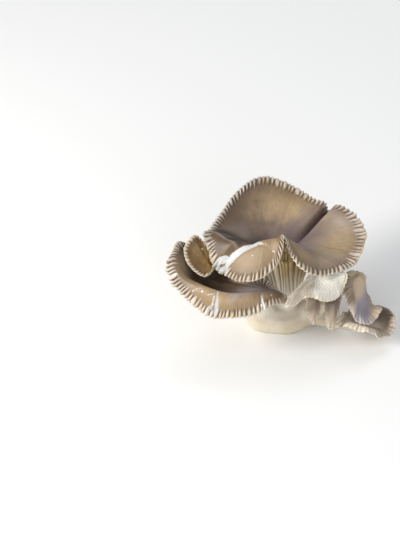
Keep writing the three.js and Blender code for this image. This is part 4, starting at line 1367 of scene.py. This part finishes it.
def stem_rings(route, neck):
    """Rings of a stem: circles square to a smooth curve through the route's points. The curve's speed
    at a point is the slope of the route against its walked length. Where the gills end on the stem,
    it starts a little inside their neck and keeps its way for one radius."""
    if neck:
        down = unit(np.array(neck["down"], float))
        top = route[0] - np.append(STEM_TUCK * down, 0)
        below = top + np.append((neck["radius"] + STEM_TUCK) * down, 0)
        route = np.concatenate([[top, below], route[1:]])
    walked = walked_along(route[:, :3])
    slope = np.gradient(route, walked, axis=0)
    place = np.linspace(0, walked[-1], TUBE_STEPS)
    slot = np.clip(np.searchsorted(walked, place, side="right") - 1, 0, len(route) - 2)
    step = (walked[slot + 1] - walked[slot])[:, None]
    t = (place - walked[slot])[:, None] / step
    curve = hermite(route[slot], route[slot + 1], slope[slot] * step, slope[slot + 1] * step, t)
    centres, radii = curve[:, :3], curve[:, 3]
    tangents = unit(np.gradient(centres, axis=0))
    side = unit(np.cross(tangents, NORTH))
    other = np.cross(tangents, side)
    angle = np.linspace(0, 2 * np.pi, TUBE_SIDES, endpoint=False)[:, None]
    swell = radii[:, None, None] * (np.cos(angle) * side[:, None] + np.sin(angle) * other[:, None])
    return centres[:, None] + swell


def butt_rings():
    """Rings of the butt: the profile turned round, with the radius swollen by two slow waves, one of
    5 % and one of 4 %."""
    r, z = np.array(BUTT_PROFILE).T[..., None]
    angle = np.linspace(0, 2 * np.pi, BUTT_SIDES, endpoint=False)
    lump = 1 + 0.05 * np.cos(3 * angle + 1) + 0.04 * np.cos(5 * angle + 2 * z)
    x = r * lump * BUTT_HALF_WIDTH * np.cos(angle)
    y = r * lump * BUTT_HALF_DEPTH * np.sin(angle)
    return np.stack([x, y, np.broadcast_to(z * BUTT_HEIGHT, x.shape)], axis=-1)


tubes = [stem_rings(mushroom["route"], mushroom["neck"]) for mushroom in MUSHROOMS.values()]
print("tubes:", len(tubes), "butt sides:", BUTT_SIDES)

# %% [markdown]
# A voxel remesh melts the tubes and the butt into one skin: it fills their common space with small
# cubes and wraps them. A few smoothing passes then round the valleys where stems meet. Both could
# stay live modifiers, but here they are applied, because the underside is pressed flat afterwards: it
# is the cut that the cluster stands on.

# %% One skin for all stems
VOXEL = 0.9
SMOOTH_FACTOR = 0.6
SMOOTH_PASSES = 8
PRESSED_FLAT = 0.6


def raw_stems():
    """One mesh of all the tubes and the butt, still crossing each other."""
    points, faces, count = [], [], 0
    for rings in [butt_rings(), *tubes]:
        faces += [[corner + count for corner in face] for face in ring_faces(*rings.shape[:2])]
        points.append(rings.reshape(-1, 3))
        count += len(points[-1])
    mesh = bpy.data.meshes.new("raw_stems")
    mesh.from_pydata((np.concatenate(points) * MM).tolist(), [], faces)
    return mesh


def melted(mesh):
    """The mesh as one smooth skin: a voxel remesh and the smoothing passes, applied."""
    draft = placed("draft_stems", mesh)
    remesh = draft.modifiers.new("melt", "REMESH")
    remesh.mode = "VOXEL"
    remesh.voxel_size = VOXEL * MM
    smooth = draft.modifiers.new("smooth", "SMOOTH")
    smooth.factor = SMOOTH_FACTOR
    smooth.iterations = SMOOTH_PASSES
    graph = bpy.context.evaluated_depsgraph_get()
    result = bpy.data.meshes.new_from_object(draft.evaluated_get(graph))
    bpy.data.objects.remove(draft)
    return result


stem_mesh = melted(raw_stems())
stem_points = np.empty(len(stem_mesh.vertices) * 3)
stem_mesh.vertices.foreach_get("co", stem_points)
height = stem_points[2::3]
height[height < PRESSED_FLAT * MM] = 0
stem_mesh.vertices.foreach_set("co", stem_points)
stem_mesh.shade_smooth()
stem_mesh.name = "stems"
print("stems: faces", len(stem_mesh.polygons), "lowest point", height.min())

# %% [markdown]
# Stem flesh is white and firm, and a little darker and yellower low down. Fine fibres run up the
# stems. They are noise too, read through a Mapping node that squeezes the upward axis, so that every
# grain is drawn out into a thread.

# %% Stem material
THREAD_SQUEEZE = (1, 1, 0.18)
LOW_DOWN = (2, 30)


def stem_material():
    """White flesh with cream clouds, a yellower foot, and threads that run upward."""
    material, shader, start = new_material("stem_flesh")
    place = object_place(start)
    threads_way = start.node("ShaderNodeMapping", {}, {"Vector": place, "Scale": THREAD_SQUEEZE})
    fibres, cloud = noise(threads_way, 420, 4, 0.6), noise(place, 60)
    foot = 1 - place.part(2).step(LOW_DOWN[0] * MM, LOW_DOWN[1] * MM)
    colour = cloud.step(0.35, 0.75).blend(rgb(236, 230, 216), rgb(216, 204, 178))
    colour = (foot * 0.5).blend(colour, rgb(196, 178, 146))
    colour = (fibres.step(0.5, 0.8) * 0.35).blend(colour, rgb(190, 174, 146))
    plug(shader, "Base Color", colour)
    plug(shader, "Roughness", 0.5 + fibres * 0.25)
    raise_relief(shader, fibres + cloud, 0.3, 0.6 * MM)
    let_light_in(shader, 0.2, (1, 0.75, 0.5), 3 * MM)
    return material


stem_mesh.materials.append(stem_material())
stems = placed("stems", stem_mesh)
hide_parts("stem_clump")
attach(stems, "root")
print("stem material:", stem_mesh.materials[0].name)
